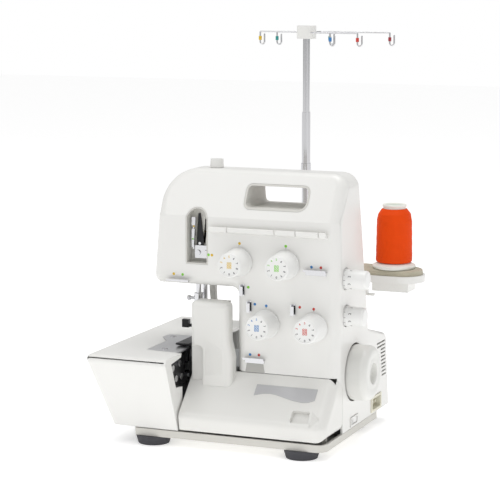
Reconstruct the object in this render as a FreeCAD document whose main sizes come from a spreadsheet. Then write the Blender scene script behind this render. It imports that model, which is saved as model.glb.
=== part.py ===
"""Four-thread overlock sewing machine on rubber feet, with its rear thread stand.

Frame: millimetres, +X to the handwheel side, +Y to the back, +Z up.
The origin is on the table under the middle of the machine.
"""
import FreeCAD, Part
import math
import os

import Sketcher
from FreeCAD import Placement, Rotation, Vector

doc = FreeCAD.newDocument("overlock_machine")

# ---------------------------------------------------------------- driving sizes
DIMENSIONS = {
    # machine body
    "side_x": (108.0, "plane of the handwheel side"),
    "throat_x": (-9.0, "inner face of the column, at the throat"),
    "arm_low_x": (-109.0, "left end of the arm at its lower edge"),
    "arm_high_x": (-103.0, "left end of the arm at the crease"),
    "front_y": (-53.0, "front face of column and arm"),
    "arm_bottom_z": (172.0, "underside of the arm"),
    "crease_z": (248.0, "crease where the front starts to lean back"),
    "body_top_z": (297.0, "top of the body"),
    "top_front_y": (-28.0, "front edge of the top"),
    "top_rear_y": (7.0, "rear edge of the top"),
    "rear_y": (45.0, "rear face at the foot of the column"),
    "rear_knee_z": (120.0, "height where the rear face starts to lean"),
    "seam_y": (-37.0, "seam between the front cover and the side"),
    "cover_wall": (2.5, "wall of the moulded covers"),
    "seam_gap": (0.3, "gap between neighbouring covers"),
    "corner_round": (11.0, "rounding round the front of the body"),
    "edge_round": (6.0, "rounding round the back of the body"),
    # base
    "foot_height": (10.0, "rubber foot height"),
    "foot_wide": (20.0, "rubber foot radius at the top"),
    "foot_narrow": (17.0, "rubber foot radius on the table"),
    "pan_left_x": (-113.0, "left end of the base pan"),
    "pan_front_y": (-93.0, "front of the base pan"),
    "pan_rear_y": (84.0, "rear of the base pan"),
    "pan_height": (8.0, "height of the base pan's rim"),
    "pan_wall": (3.0, "wall of the base pan"),
    # looper cover
    "lip_z": (81.0, "top edge of the looper cover"),
    "nose_drop": (43.7, "fall and reach of the slope down to the nose"),
    "cover_low_z": (20.0, "lower edge of the looper cover"),
    "cover_left_x": (-58.5, "left end of the looper cover"),
    "tilt_y": (-86.0, "tilt axis of the looper cover"),
    "tilt_z": (27.0, "height of the tilt axis"),
    "tilt_rod_radius": (2.0, "radius of the tilt rod"),
    "cover_slide": (8.0, "slide of the looper cover before it tilts"),
    # finger guard
    "guard_left_x": (-56.5, "left side of the finger guard"),
    "guard_right_x": (-9.5, "right side of the finger guard, low"),
    "guard_front_y": (-68.5, "front of the finger guard"),
    "guard_top_z": (157.0, "top of the finger guard"),
    # cloth plate
    "plate_left_x": (-157.48, "left edge of the cloth plate"),
    "plate_foot_x": (-139.0, "left end of the cloth plate's foot"),
    "plate_right_x": (-60.5, "right edge of the cloth plate"),
    "plate_front_y": (-126.43, "front edge of the cloth plate"),
    "plate_rear_y": (118.0, "rear edge of the cloth plate"),
    "plate_top_z": (102.0, "cloth plate surface"),
    "plate_low_z": (19.0, "lower edge of the cloth plate"),
    "plate_wall": (2.8, "wall of the cloth plate"),
    "plate_hinge_x": (-68.0, "cloth plate hinge axis"),
    "plate_hinge_y": (100.0, "cloth plate hinge axis"),
    "plate_pin_radius": (3.0, "radius of the cloth plate's hinge pin"),
    # needle zone
    "needle_x": (-63.0, "needle line"),
    "needle_y": (-30.0, "needle line"),
    "presser_y": (-13.0, "presser bar line"),
    "bar_radius": (3.0, "needle bar and presser bar radius"),
    "knob_x": (-50.0, "presser pressure screw"),
    "knob_y": (-8.5, "presser pressure screw"),
    "needle_plate_x": (-104.5, "left edge of the needle plate"),
    "slot_x": (-55.0, "middle of the lever slot in the arm"),
    "slot_width": (23.0, "width of the lever slot"),
    "slot_top_z": (256.0, "top of the lever slot"),
    "slot_low_z": (197.0, "bottom of the lever slot"),
    "slot_depth": (13.0, "depth of the lever slot"),
    # tension dials
    "dial_left_x": (-5.5, "left upper tension dial"),
    "dial_mid_x": (48.5, "right upper tension dial"),
    "dial_low_x": (26.0, "left lower tension dial"),
    "dial_right_x": (80.5, "right lower tension dial"),
    "dial_high_z": (201.0, "upper tension dials"),
    "dial_low_z": (135.5, "lower tension dials"),
    "dial_radius": (13.4, "face radius of a tension dial"),
    "dial_flange": (15.8, "flange radius of a tension dial"),
    "dial_length": (28.0, "how far a tension dial stands out"),
    "stud_radius": (3.0, "tension stud radius"),
    # carrying handle
    "grip_left_x": (-1.0, "left end of the handle opening"),
    "grip_right_x": (68.0, "right end of the handle opening"),
    "grip_low_z": (259.5, "lower edge of the handle opening"),
    "grip_high_z": (282.0, "upper edge of the handle opening"),
    "grip_wall": (2.2, "wall of the handle liner"),
    # handwheel and drive
    "shaft_y": (1.0, "main shaft axis"),
    "shaft_z": (79.0, "main shaft axis"),
    "shaft_radius": (6.0, "main shaft radius"),
    "wheel_radius": (30.5, "handwheel radius"),
    "wheel_reach": (22.5, "how far the handwheel stands out"),
    "wheel_bore": (11.5, "hollow in the handwheel's face"),
    "motor_y": (82.0, "motor axis"),
    "motor_z": (66.0, "motor axis"),
    "motor_radius": (26.0, "motor body radius"),
    "big_pulley": (24.0, "belt radius on the main shaft"),
    "small_pulley": (8.0, "belt radius on the motor"),
    "run_gap": (0.06, "radial running fit of shafts and pins"),
    # side dials
    "stitch_y": (-29.0, "stitch length dial"),
    "stitch_z": (186.0, "stitch length dial"),
    "feed_y": (-26.5, "differential feed dial"),
    "feed_z": (145.6, "differential feed dial"),
    "side_dial_radius": (11.3, "radius of the side dials"),
    "stitch_reach": (25.0, "how far the stitch length dial stands out"),
    "feed_reach": (21.5, "how far the differential dial stands out"),
    # motor housing
    "bulge_left_x": (46.0, "left side of the motor housing"),
    "bulge_rear_y": (123.5, "rear of the motor housing at its foot"),
    # thread stand
    "pole_x": (14.5, "thread stand pole"),
    "stand_y": (97.0, "thread stand line"),
    "tray_half": (141.5, "half length of the spool tray"),
    "tray_depth": (50.0, "depth of the spool tray"),
    "tray_low_z": (166.0, "underside of the spool tray"),
    "tray_high_z": (174.0, "rim of the spool tray"),
    "foam_top_z": (180.0, "top of the foam mat"),
    "pin_pitch": (70.7, "spacing of the spool pins"),
    "pin_top_z": (236.0, "top of the spool pins"),
    "pole_low_radius": (4.8, "outer pole radius"),
    "pole_high_radius": (3.9, "inner pole radius"),
    "pole_joint_z": (352.0, "top of the outer pole"),
    "block_low_z": (434.5, "guide block underside"),
    "block_top_z": (449.0, "guide block top"),
    "wire_radius": (0.9, "thread guide wire radius"),
}

sheet = doc.addObject("Spreadsheet::Sheet", "Sizes")
for row, (name, (number, note)) in enumerate(DIMENSIONS.items(), start=1):
    sheet.set(f"A{row}", note)
    sheet.set(f"B{row}", repr(number))
    sheet.setAlias(f"B{row}", name)
doc.recompute()


class Size:
    """A length that carries its value and the sheet expression that gives it."""

    def __init__(self, value, text):
        self.value, self.text = float(value), text

    @staticmethod
    def of(thing):
        return thing if isinstance(thing, Size) else Size(thing, f"({float(thing)!r})")

    def __add__(self, other):
        other = Size.of(other)
        return Size(self.value + other.value, f"({self.text} + {other.text})")

    def __sub__(self, other):
        other = Size.of(other)
        return Size(self.value - other.value, f"({self.text} - {other.text})")

    def __mul__(self, other):
        other = Size.of(other)
        return Size(self.value * other.value, f"({self.text} * {other.text})")

    def __truediv__(self, other):
        other = Size.of(other)
        return Size(self.value / other.value, f"({self.text} / {other.text})")

    def __neg__(self):
        return Size(-self.value, f"(-{self.text})")

    __radd__ = __add__

    def __rsub__(self, other):
        return Size.of(other) - self

    __rmul__ = __mul__


class Sheet:
    """Reads a driving size from the sheet by name."""

    def __getattr__(self, name):
        return Size(sheet.get(name), f"Sizes.{name}")


s = Sheet()
NODES = {}
counter = iter(range(100000))


def bind(thing, prop, size):
    """Set a property and tie it to the sheet."""
    thing.setExpression(prop, Size.of(size).text)


def made(kind, hint):
    return doc.addObject(kind, f"{hint}_{next(counter)}")


def node(name, thing):
    """Name a finished sub-part: its label is the name of its file."""
    thing.Label = name
    NODES[name] = thing
    return thing


# ---------------------------------------------------------------- solid helpers
def box(x0, x1, y0, y1, z0, z1):
    """Block between two corners."""
    block = made("Part::Box", "block")
    for prop, low, high in (("Length", x0, x1), ("Width", y0, y1), ("Height", z0, z1)):
        bind(block, prop, Size.of(high) - low)
    for letter, low in zip("xyz", (x0, y0, z0)):
        bind(block, f"Placement.Base.{letter}", low)
    return block


TURN = {"x": Rotation(Vector(0, 1, 0), 90), "y": Rotation(Vector(1, 0, 0), -90),
        "z": Rotation()}


def stand(thing, axis, start, u, v):
    """Lay a solid made along +Z along an axis, from start, through (u, v) across it."""
    thing.Placement = Placement(Vector(), TURN[axis])
    across = [letter for letter in "xyz" if letter != axis]
    bind(thing, f"Placement.Base.{axis}", start)
    bind(thing, f"Placement.Base.{across[0]}", u)
    bind(thing, f"Placement.Base.{across[1]}", v)
    return thing


def rod(axis, radius, start, end, u, v):
    """Cylinder along an axis between two stations."""
    cylinder = made("Part::Cylinder", "rod")
    bind(cylinder, "Radius", radius)
    bind(cylinder, "Height", Size.of(end) - start)
    return stand(cylinder, axis, start, u, v)


def taper(axis, radius0, radius1, start, end, u, v):
    """Cone between two stations."""
    cone = made("Part::Cone", "taper")
    bind(cone, "Radius1", radius0)
    bind(cone, "Radius2", radius1)
    bind(cone, "Height", Size.of(end) - start)
    return stand(cone, axis, start, u, v)


def ball(radius, x, y, z):
    sphere = made("Part::Sphere", "ball")
    bind(sphere, "Radius", radius)
    return stand(sphere, "z", z, x, y)


def fuse(*things):
    """Union of touching or overlapping solids."""
    joined = made("Part::MultiFuse", "joined")
    joined.Shapes = list(things)
    joined.Refine = True
    return joined


def group(*things):
    """Separate solids that share one node."""
    several = made("Part::Compound", "group")
    several.Links = list(things)
    return several


def cut(base, *tools):
    """Base without the tools."""
    left = made("Part::Cut", "cut")
    left.Base = base
    left.Tool = tools[0] if len(tools) == 1 else fuse(*tools)
    left.Refine = True
    return left


def common(*things):
    shared = made("Part::MultiCommon", "shared")
    shared.Shapes = list(things)
    shared.Refine = True
    return shared


def tube(axis, outer, inner, start, end, u, v):
    """Ring or sleeve."""
    return cut(rod(axis, outer, start, end, u, v),
               rod(axis, inner, Size.of(start) - 1, Size.of(end) + 1, u, v))


def sketch_on(body, role):
    """A sketch on one of the body's own origin planes."""
    plane = [f for f in body.Origin.OriginFeatures if f.Role == role][0]
    sketch = body.newObject("Sketcher::SketchObject", f"sketch_{next(counter)}")
    sketch.AttachmentSupport = [(plane, "")]
    sketch.MapMode = "FlatFace"
    return sketch


def outline(sketch, points):
    """Closed polygon whose corners are tied to the sheet."""
    corners = [(Size.of(u), Size.of(v)) for u, v in points]
    count = len(corners)
    for i, (u, v) in enumerate(corners):
        end_u, end_v = corners[(i + 1) % count]
        sketch.addGeometry(Part.LineSegment(Vector(u.value, v.value, 0),
                                            Vector(end_u.value, end_v.value, 0)), False)
    for i in range(count):
        sketch.addConstraint(Sketcher.Constraint("Coincident", i, 2, (i + 1) % count, 1))
    for i, (u, v) in enumerate(corners):
        for kind, size in (("DistanceX", u), ("DistanceY", v)):
            tie = sketch.addConstraint(Sketcher.Constraint(kind, -1, 1, i, 1, size.value))
            sketch.setExpression(f"Constraints[{tie}]", size.text)


PLANES = {"z": ("XY_Plane", 0, 1), "y": ("XZ_Plane", 0, 2), "x": ("YZ_Plane", 1, 2)}


def prism(axis, points, start, end):
    """Polygon carried along an axis. A corner may be (u, v, radius): it is rounded."""
    start, end = Size.of(start), Size.of(end)
    role, first, second = PLANES[axis]
    body = made("PartDesign::Body", "body")
    sketch = sketch_on(body, role)
    outline(sketch, [p[:2] for p in points])
    pad = body.newObject("PartDesign::Pad", f"pad_{next(counter)}")
    pad.Profile = sketch
    pad.Length = (end - start).value
    bind(pad, "Length", end - start)
    # the XZ plane's normal is -Y, so its pad grows from the far end towards the start
    bind(body, f"Placement.Base.{axis}", end if axis == "y" else start)
    doc.recompute()
    radii = {}
    for p in points:
        if len(p) == 3:
            radii.setdefault(Size.of(p[2]).text, []).append(p)
    for corners in radii.values():
        def wanted(edge):
            ends = [v.Point for v in edge.Vertexes]
            if len(ends) != 2:
                return False
            return any(all(abs(q[first] - Size.of(c[0]).value) < 1e-4
                           and abs(q[second] - Size.of(c[1]).value) < 1e-4 for q in ends)
                       for c in corners)
        fillet(body, corners[0][2], wanted)
    return body


def fillet(body, radius, wanted):
    """Round the edges of a body's tip that the test picks."""
    tip = body.Tip
    names = [f"Edge{i}" for i, edge in enumerate(body.Shape.Edges, start=1) if wanted(edge)]
    if not names:
        raise ValueError("no edge to round on " + body.Name)
    rounding = body.newObject("PartDesign::Fillet", f"round_{next(counter)}")
    rounding.Base = (tip, names)
    bind(rounding, "Radius", radius)
    body.Tip = rounding
    doc.recompute()
    return body


def soften(thing, radius, wanted):
    """Round the edges of a boolean result that the test picks."""
    doc.recompute()
    picked = [(i, Size.of(radius).value, Size.of(radius).value)
              for i, edge in enumerate(thing.Shape.Edges, start=1) if wanted(edge)]
    if not picked:
        raise ValueError("no edge to round on " + thing.Name)
    rounding = made("Part::Fillet", "soft")
    rounding.Base = thing
    rounding.Edges = picked
    doc.recompute()
    return rounding


def turned(axis, profile, u, v):
    """Solid of revolution: the profile is a list of (station, radius)."""
    body = made("PartDesign::Body", "turned")
    role, line = {"x": ("XZ_Plane", "H_Axis"), "y": ("YZ_Plane", "H_Axis"),
                  "z": ("XZ_Plane", "V_Axis")}[axis]
    sketch = sketch_on(body, role)
    outline(sketch, [(r, a) for a, r in profile] if axis == "z" else profile)
    spin = body.newObject("PartDesign::Revolution", f"spin_{next(counter)}")
    spin.Profile = sketch
    spin.ReferenceAxis = (sketch, [line])
    spin.Angle = 360
    across = [letter for letter in "xyz" if letter != axis]
    bind(body, f"Placement.Base.{across[0]}", u)
    bind(body, f"Placement.Base.{across[1]}", v)
    return body


def along(edge, axis):
    """True for a straight edge that runs along an axis."""
    if len(edge.Vertexes) != 2 or edge.Curve.TypeId != "Part::GeomLine":
        return False
    run = edge.Vertexes[1].Point - edge.Vertexes[0].Point
    return abs(abs(run["xyz".index(axis)]) - run.Length) < 1e-5 * run.Length


def near(value, size, tolerance=0.05):
    return abs(value - Size.of(size).value) < tolerance


def wire_path(name, radius, points, bend):
    """Round wire through points, with each corner rounded to the bend radius."""
    corners = [Vector(*[Size.of(c).value for c in p]) for p in points]
    radius, bend = Size.of(radius).value, Size.of(bend).value
    edges, at = [], corners[0]
    for before, corner, after in zip(corners, corners[1:], corners[2:]):
        into = (corner - before).normalize()
        out = (after - corner).normalize()
        turn = into.getAngle(out)
        if turn < 1e-3:
            continue
        reach = min(bend * math.tan(turn / 2), 0.45 * (corner - before).Length,
                    0.45 * (after - corner).Length)
        here, there = corner - into * reach, corner + out * reach
        middle = (out - into).normalize()
        size = reach / math.tan(turn / 2)
        centre = corner + middle * (size / math.cos(turn / 2))
        edges.append(Part.LineSegment(at, here).toShape())
        edges.append(Part.Arc(here, centre - middle * size, there).toShape())
        at = there
    edges.append(Part.LineSegment(at, corners[-1]).toShape())
    path = Part.Wire(edges)
    start = (corners[1] - corners[0]).normalize()
    ring = Part.Wire([Part.Circle(corners[0], start, radius).toShape()])
    wire = made("Part::Feature", name)
    wire.Shape = path.makePipeShell([ring], True, False)
    return wire


# ---------------------------------------------------------------- body shells
wall, gap = s.cover_wall, s.seam_gap
floor_z = s.foot_height + s.pan_height + gap
lip_top = s.lip_z + gap
TOP_LEFT_ROUND, TOP_RIGHT_ROUND, ARM_END_ROUND, THROAT_ROUND = 38.0, 17.0, 8.0, 8.0


def body_volume(inset):
    """Column and arm as one block, drawn in by the inset; its foot stays open."""
    low = floor_z if not inset else floor_z - 2
    i = Size.of(inset)
    front_view = prism("y", [
        (s.throat_x + i, low), (s.side_x - i, low),
        (s.side_x - i, s.body_top_z - i, TOP_RIGHT_ROUND - i),
        (s.arm_high_x + i, s.body_top_z - i, TOP_LEFT_ROUND - i),
        (s.arm_high_x + i, s.crease_z),
        (s.arm_low_x + i, s.arm_bottom_z + i, ARM_END_ROUND - i),
        (s.throat_x + i, s.arm_bottom_z + i, THROAT_ROUND + i),
    ], s.front_y - 5, s.rear_y + 5)
    side_view = prism("x", [
        (s.front_y + i, low - 1), (s.front_y + i, s.crease_z),
        (s.top_front_y + i, s.body_top_z - i), (s.top_rear_y - i, s.body_top_z - i, s.edge_round - i),
        (s.rear_y - i, s.rear_knee_z, 30.0), (s.rear_y - i, low - 1),
    ], s.arm_low_x - 5, s.side_x + 5)
    block = common(front_view, side_view)
    return soften(block, s.corner_round - i, lambda e: on_face(e, front_line(i)))


def front_line(inset):
    """Depth of the front as a function of height: upright, then leaning back."""
    y0, z0 = (s.front_y + inset).value, s.crease_z.value
    y1, z1 = (s.top_front_y + inset).value, (s.body_top_z - inset).value
    return lambda z: y0 if z <= z0 else y0 + (y1 - y0) * (z - z0) / (z1 - z0)


def on_face(edge, line):
    """True for a rim edge of the front: not the crease, not the open foot."""
    ends = [v.Point for v in edge.Vertexes]
    if len(ends) != 2 or any(abs(p.y - line(p.z)) > 1e-3 for p in ends):
        return False
    middle = edge.CenterOfMass
    crease = along(edge, "x") and near(middle.z, s.crease_z)
    return not crease and middle.z > floor_z.value + 1


def slab(points, x0=None, x1=None):
    """Side-view polygon carried across the whole machine."""
    return prism("x", points, s.arm_low_x - 20 if x0 is None else x0,
                 s.side_x + 30 if x1 is None else x1)


def seam_points(offset):
    """The seam between the front cover and what lies behind it, bottom to top."""
    y = s.seam_y + offset
    return [(y, s.rear_knee_z + 15), (y - 6, s.dial_high_z - 3), (y - 9.5, s.crease_z + 1),
            (y + 18, s.body_top_z - 12), (y + 18, s.body_top_z + 8)]


def grip_tunnel(margin):
    """The handle opening, from front to back, widened by the margin."""
    m = Size.of(margin)
    return prism("y", [
        (s.grip_left_x - m, s.grip_low_z - m, 5.0 + m), (s.grip_right_x + m, s.grip_low_z - m, 9.0 + m),
        (s.grip_right_x + m, s.grip_high_z + m, 5.0 + m), (s.grip_left_x - m, s.grip_high_z + m, 5.0 + m),
    ], s.front_y - 8, s.rear_y + 8)


def slot_tunnel(margin):
    """The tall round-topped lever slot in the front of the arm."""
    m = Size.of(margin)
    half = s.slot_width / 2 + m
    front, back = s.front_y - 8, s.front_y + s.slot_depth + m
    return fuse(box(s.slot_x - half, s.slot_x + half, front, back,
                    s.slot_low_z - m, s.slot_top_z - s.slot_width / 2),
                rod("y", half, front, back, s.slot_x, s.slot_top_z - s.slot_width / 2))


DIALS = {"left_upper_needle": (s.dial_left_x, s.dial_high_z),
         "right_upper_needle": (s.dial_mid_x, s.dial_high_z),
         "upper_looper": (s.dial_low_x, s.dial_low_z),
         "lower_looper": (s.dial_right_x, s.dial_low_z)}


def build_shells():
    """Front cover, rear cover, side cover, handle liner and slot liner."""
    outer = body_volume(0)
    inner = body_volume(wall)
    skin = cut(outer, inner)
    ahead = slab([(s.front_y - 20, lip_top), (s.seam_y, lip_top)] + seam_points(0)
                 + [(s.front_y - 20, s.body_top_z + 8)])
    sector = cut(prism("x", [(s.front_y - 4, s.lip_z - 24), (s.seam_y, s.lip_z - 24),
                             (s.seam_y, lip_top + 0.5), (s.front_y - 4, lip_top + 0.5)],
                       s.side_x - wall, s.side_x + 2),
                 rod("x", sweep_radius() + gap, s.side_x - 20, s.side_x + 5, s.tilt_y, s.tilt_z))
    front = cut(common(skin, fuse(ahead, sector)),
                grip_tunnel(s.grip_wall + 0.15), slot_tunnel(1.6),
                *[rod("y", s.stud_radius + 1.2, s.front_y - 2, s.front_y + 6, x, z)
                  for x, z in DIALS.values()])
    node("front_cover", front)
    liner = cut(common(body_volume(0), grip_tunnel(s.grip_wall)), grip_tunnel(0))
    slot_box = cut(common(body_volume(0), slot_tunnel(1.45)), slot_tunnel(0), take_up_window())
    well = cut(rod("x", s.wheel_radius + 3.5, s.side_x - 12, s.side_x - wall, s.shaft_y, s.shaft_z),
               rod("x", s.wheel_radius + 1.5, s.side_x - 10, s.side_x + 2, s.shaft_y, s.shaft_z),
               rod("x", s.shaft_radius + 2, s.side_x - 14, s.side_x, s.shaft_y, s.shaft_z))
    node("opening_liners", group(liner, slot_box, well))

    behind = slab([(s.seam_y + gap, floor_z - 2), (s.rear_y + 120, floor_z - 2),
                   (s.rear_y + 120, s.body_top_z + 8)] + seam_points(gap)[::-1])
    side_split = s.bulge_left_x
    rear_skin = cut(common(skin, behind), grip_tunnel(s.grip_wall + 0.15))
    left_half = box(s.arm_low_x - 5, side_split - gap, s.front_y, s.rear_y + 2,
                    floor_z - 3, s.body_top_z + 5)
    right_half = box(side_split, s.side_x + 5, s.front_y, s.rear_y + 2,
                     floor_z - 3, s.body_top_z + 5)
    rear = cut(common(rear_skin, left_half),
               rod("z", 5.4, s.body_top_z - 8, s.body_top_z + 5, s.knob_x, s.knob_y),
               box(s.pole_x - 13, s.pole_x + 13, s.top_rear_y, s.rear_y + 3, 150, 176),
               rod("z", s.bar_radius + 1, s.arm_bottom_z - 2, s.arm_bottom_z + 5,
                   s.needle_x, s.needle_y),
               rod("z", s.bar_radius + 1, s.arm_bottom_z - 2, s.arm_bottom_z + 5,
                   s.needle_x, s.presser_y),
               box(s.needle_x - 2, s.needle_x + 9, s.presser_y + 10, s.presser_y + 32,
                   s.arm_bottom_z - 2, s.arm_bottom_z + 5))
    node("rear_cover", rear)

    side = cut(fuse(cut(common(rear_skin, right_half), motor_volume(wall)), motor_housing()),
               rod("x", s.wheel_radius + 1.5, s.side_x - wall - 1, s.side_x + 2, s.shaft_y, s.shaft_z),
               rod("x", s.side_dial_radius + 0.8, s.side_x - wall - 1, s.side_x + 2, s.stitch_y, s.stitch_z),
               rod("x", s.side_dial_radius + 0.8, s.side_x - wall - 1, s.side_x + 2, s.feed_y, s.feed_z),
               inlet_block(0.2), switch_block(0.2), vents())
    node("side_cover", side)


def sweep_radius():
    """Reach of the looper cover's upper rear corner about its tilt axis."""
    rise = s.lip_z - s.tilt_z
    back = s.front_y - s.tilt_y
    square = back * back + rise * rise
    return Size(math.sqrt(square.value), f"sqrt({square.text})") - gap


def take_up_window():
    """Narrow slanted slit in the slot liner's back, where the take-up lever moves."""
    back = s.front_y + s.slot_depth
    return prism("y", [(s.slot_x + 1.5, s.slot_low_z + 20), (s.slot_x + 4.5, s.slot_low_z + 20),
                       (s.slot_x + 8.0, s.slot_top_z - 12), (s.slot_x + 4.5, s.slot_top_z - 12)],
                 back - 3, back + 5)


def motor_volume(inset):
    """Housing of the motor, low at the back right."""
    i = Size.of(inset)
    low = floor_z if not inset else floor_z - 2
    rear = s.bulge_rear_y
    return prism("x", [
        (s.rear_y - wall - i * 0.2, low), (rear - i, low), (rear - 10 - i, s.rear_knee_z - 18 - i, 14.0 - i),
        (s.rear_y - wall - i * 0.2, s.rear_knee_z - i),
    ], s.bulge_left_x + i, s.side_x - i)


def motor_housing():
    """Shell of the motor housing with a rounded outer edge."""
    def rim(edge):
        middle = edge.CenterOfMass
        return near(middle.x, s.side_x, 0.01) and middle.z > s.cover_low_z.value + 6 \
            and middle.y > s.rear_y.value + 6
    outer = soften(motor_volume(0), 4.0, rim)
    open_front = box(s.bulge_left_x + wall, s.side_x - wall, s.rear_y - wall - 2, s.rear_y + 2,
                     floor_z - 3, s.rear_knee_z - 6)
    return cut(outer, motor_volume(wall), open_front)


def vents():
    """Ten horizontal slots in the motor housing's side, shorter towards the bottom."""
    slots = []
    for i in range(10):
        z = s.lip_z + 13.0 - 4.3 * i
        start = s.bulge_rear_y - 46 + (12.0 if i > 1 else 0.0) + 0.6 * i
        slots.append(box(s.side_x - wall - 1, s.side_x + 1, start, s.bulge_rear_y - 17.5 + 0.5 * i,
                         z, z + 1.9))
    return group(*slots)


def inlet_block(margin):
    """Outer block of the power inlet."""
    m = Size.of(margin)
    return box(s.side_x - 22 - m, s.side_x + 1.2 + m, 58 - m, 92 + m, floor_z + 2 - m, floor_z + 19.5 + m)


def switch_block(margin):
    m = Size.of(margin)
    return box(s.side_x - 14 - m, s.side_x + 1.0 + m, -12 - m, 12 + m, floor_z + 1.5 - m, floor_z + 12 + m)


def build_base():
    """Base pan with the looper cover's hinge lugs, and four rubber feet."""
    z0, z1 = s.foot_height, s.foot_height + s.pan_height
    rim = s.pan_wall
    pan = prism("z", [(s.pan_left_x, s.pan_front_y, 4.0), (s.side_x, s.pan_front_y, 12.0),
                      (s.side_x, s.pan_rear_y, 6.0), (s.pan_left_x, s.pan_rear_y, 6.0)], z0, z1)
    hollow = prism("z", [(s.pan_left_x + rim, s.pan_front_y + rim, 2.0),
                         (s.side_x - rim, s.pan_front_y + rim, 9.0),
                         (s.side_x - rim, s.pan_rear_y - rim, 3.0),
                         (s.pan_left_x + rim, s.pan_rear_y - rim, 3.0)], z0 + rim, z1 + 5)
    lugs = []
    for x in (s.cover_left_x + 12.5, s.side_x - 11):
        arm = prism("x", [(s.tilt_y - 3.5, s.tilt_z - 3.5, 3.0), (s.tilt_y + 14, s.tilt_z - 3.5),
                          (s.tilt_y + 14, z0 + 1), (s.tilt_y + 19, z0 + 1),
                          (s.tilt_y + 19, s.tilt_z + 3.5), (s.tilt_y - 3.5, s.tilt_z + 3.5, 3.0)],
                    x, x + 4.5)
        lugs.append(arm)
    bore = rod("x", s.tilt_rod_radius + s.run_gap, s.cover_left_x, s.side_x, s.tilt_y, s.tilt_z)
    node("base_pan", cut(fuse(cut(pan, hollow), *lugs), bore))
    feet = []
    for x in (s.pan_left_x + 17, s.side_x - 31):
        for y in (s.pan_front_y + 15, s.pan_rear_y - 22):
            feet.append(taper("z", s.foot_narrow, s.foot_wide, 0, s.foot_height, x, y))
    node("rubber_feet", group(*feet))


# ---------------------------------------------------------------- looper cover and guard
def cover_section(inset, back_y):
    """Side view of the looper cover: sloped front, rounded nose, open foot."""
    i = Size.of(inset)
    nose_y, nose_z = s.front_y - gap - s.nose_drop, s.lip_z - s.nose_drop
    shift = i * 1.414
    return [(back_y, s.lip_z if not inset else s.lip_z + 14),
            (s.front_y - gap, s.lip_z if not inset else s.lip_z + 14),
            *([] if not inset else [(s.front_y - gap, s.lip_z - shift)]),
            (nose_y + i * 1.3, nose_z - i * 0.2, 9.0 - i),
            (s.pan_front_y + i, s.cover_low_z if not inset else s.cover_low_z - 5, *([] if inset else [1.6])),
            (back_y, s.cover_low_z if not inset else s.cover_low_z - 5)]


def build_looper_cover():
    """Front lower cover, its silver band, tilt rod and the upright finger guard."""
    outer = prism("x", cover_section(0, s.seam_y - gap), s.cover_left_x, s.side_x)

    def right_rim(edge):
        middle = edge.CenterOfMass
        return near(middle.x, s.side_x, 0.01) and middle.y < s.front_y.value - 3 \
            and middle.z > s.cover_low_z.value + 3
    rounded = soften(outer, 11.0, right_rim)
    hollow = prism("x", cover_section(wall, s.seam_y + 20), s.cover_left_x + wall, s.side_x - wall)
    hollow = soften(hollow, 8.5, lambda e: near(e.CenterOfMass.x, s.side_x - wall, 0.01)
                    and e.CenterOfMass.y < s.front_y.value - 3 and e.CenterOfMass.z < s.lip_z.value - 5
                    and e.CenterOfMass.z > s.cover_low_z.value - 2)
    behind_lip = box(s.cover_left_x - 1, s.side_x - wall, s.front_y - gap, s.seam_y + 10,
                     s.cover_low_z - 2, s.lip_z + 2)
    beyond_arc = cut(box(s.side_x - 15, s.side_x + 1, s.front_y - gap, s.seam_y + 2,
                         s.cover_low_z + 30, s.lip_z + 2),
                     rod("x", sweep_radius(), s.side_x - 20, s.side_x + 5, s.tilt_y, s.tilt_z))
    ears = [prism("x", [(s.pan_front_y + 0.4, s.tilt_z - 3.5), (s.tilt_y + 3.5, s.tilt_z - 3.5, 3.0),
                        (s.tilt_y + 3.5, s.tilt_z + 3.5, 3.0), (s.pan_front_y - 0.8, s.tilt_z + 3.5)],
                  x, x + 3.5)
            for x in (s.cover_left_x + 18.5, s.side_x - 25)]
    dent = finger_dent()
    shell = cut(fuse(cut(rounded, hollow, behind_lip, beyond_arc), *ears, dent[0]),
                rod("x", s.tilt_rod_radius + s.run_gap, s.cover_left_x + 5, s.side_x - 14,
                    s.tilt_y, s.tilt_z), dent[1])
    node("looper_cover", shell)
    node("looper_cover_rod", rod("x", s.tilt_rod_radius, s.cover_left_x + 3.2, s.side_x - 5.5,
                                 s.tilt_y, s.tilt_z))
    node("looper_cover_band", band())
    node("finger_guard", finger_guard())


def slope_solid(points, rise, start=0.0):
    """Prism standing on the slope: points are (x, distance down the slope)."""
    body = prism("z", [(p[0], -Size.of(p[1]), *p[2:]) for p in points], start, rise)
    doc.recompute()
    body.Placement = Placement(Vector(), Rotation(Vector(1, 0, 0), 45))
    lift = Size.of(start) / math.sqrt(2)
    bind(body, "Placement.Base.x", 0)
    bind(body, "Placement.Base.y", s.front_y - gap - lift)
    bind(body, "Placement.Base.z", s.lip_z + lift)
    return body


def finger_dent():
    """Wall and hollow of the square finger recess on the slope."""
    corners = [(69.0, 42.5), (88.0, 42.5), (89.0, 57.5), (68.5, 57.5)]
    rim = slope_solid([(u - 2 if u < 80 else u + 2, v - 2 if v < 50 else v + 1.2, 2.0)
                       for u, v in corners], -1.0, -6.5)
    return rim, slope_solid([(u, v, 2.0) for u, v in corners], 3.0, -4.5)


def band():
    """Thin silver band with a wavy lower edge."""
    points = [(20.0, 14.3), (89.5, 14.3), (89.5, 28.5), (83.0, 31.5), (76.5, 32.3), (66.0, 31.0),
              (55.0, 28.3), (46.0, 25.8), (37.5, 24.6), (29.0, 25.5), (20.0, 28.3)]
    return slope_solid(points, 0.4)


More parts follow.
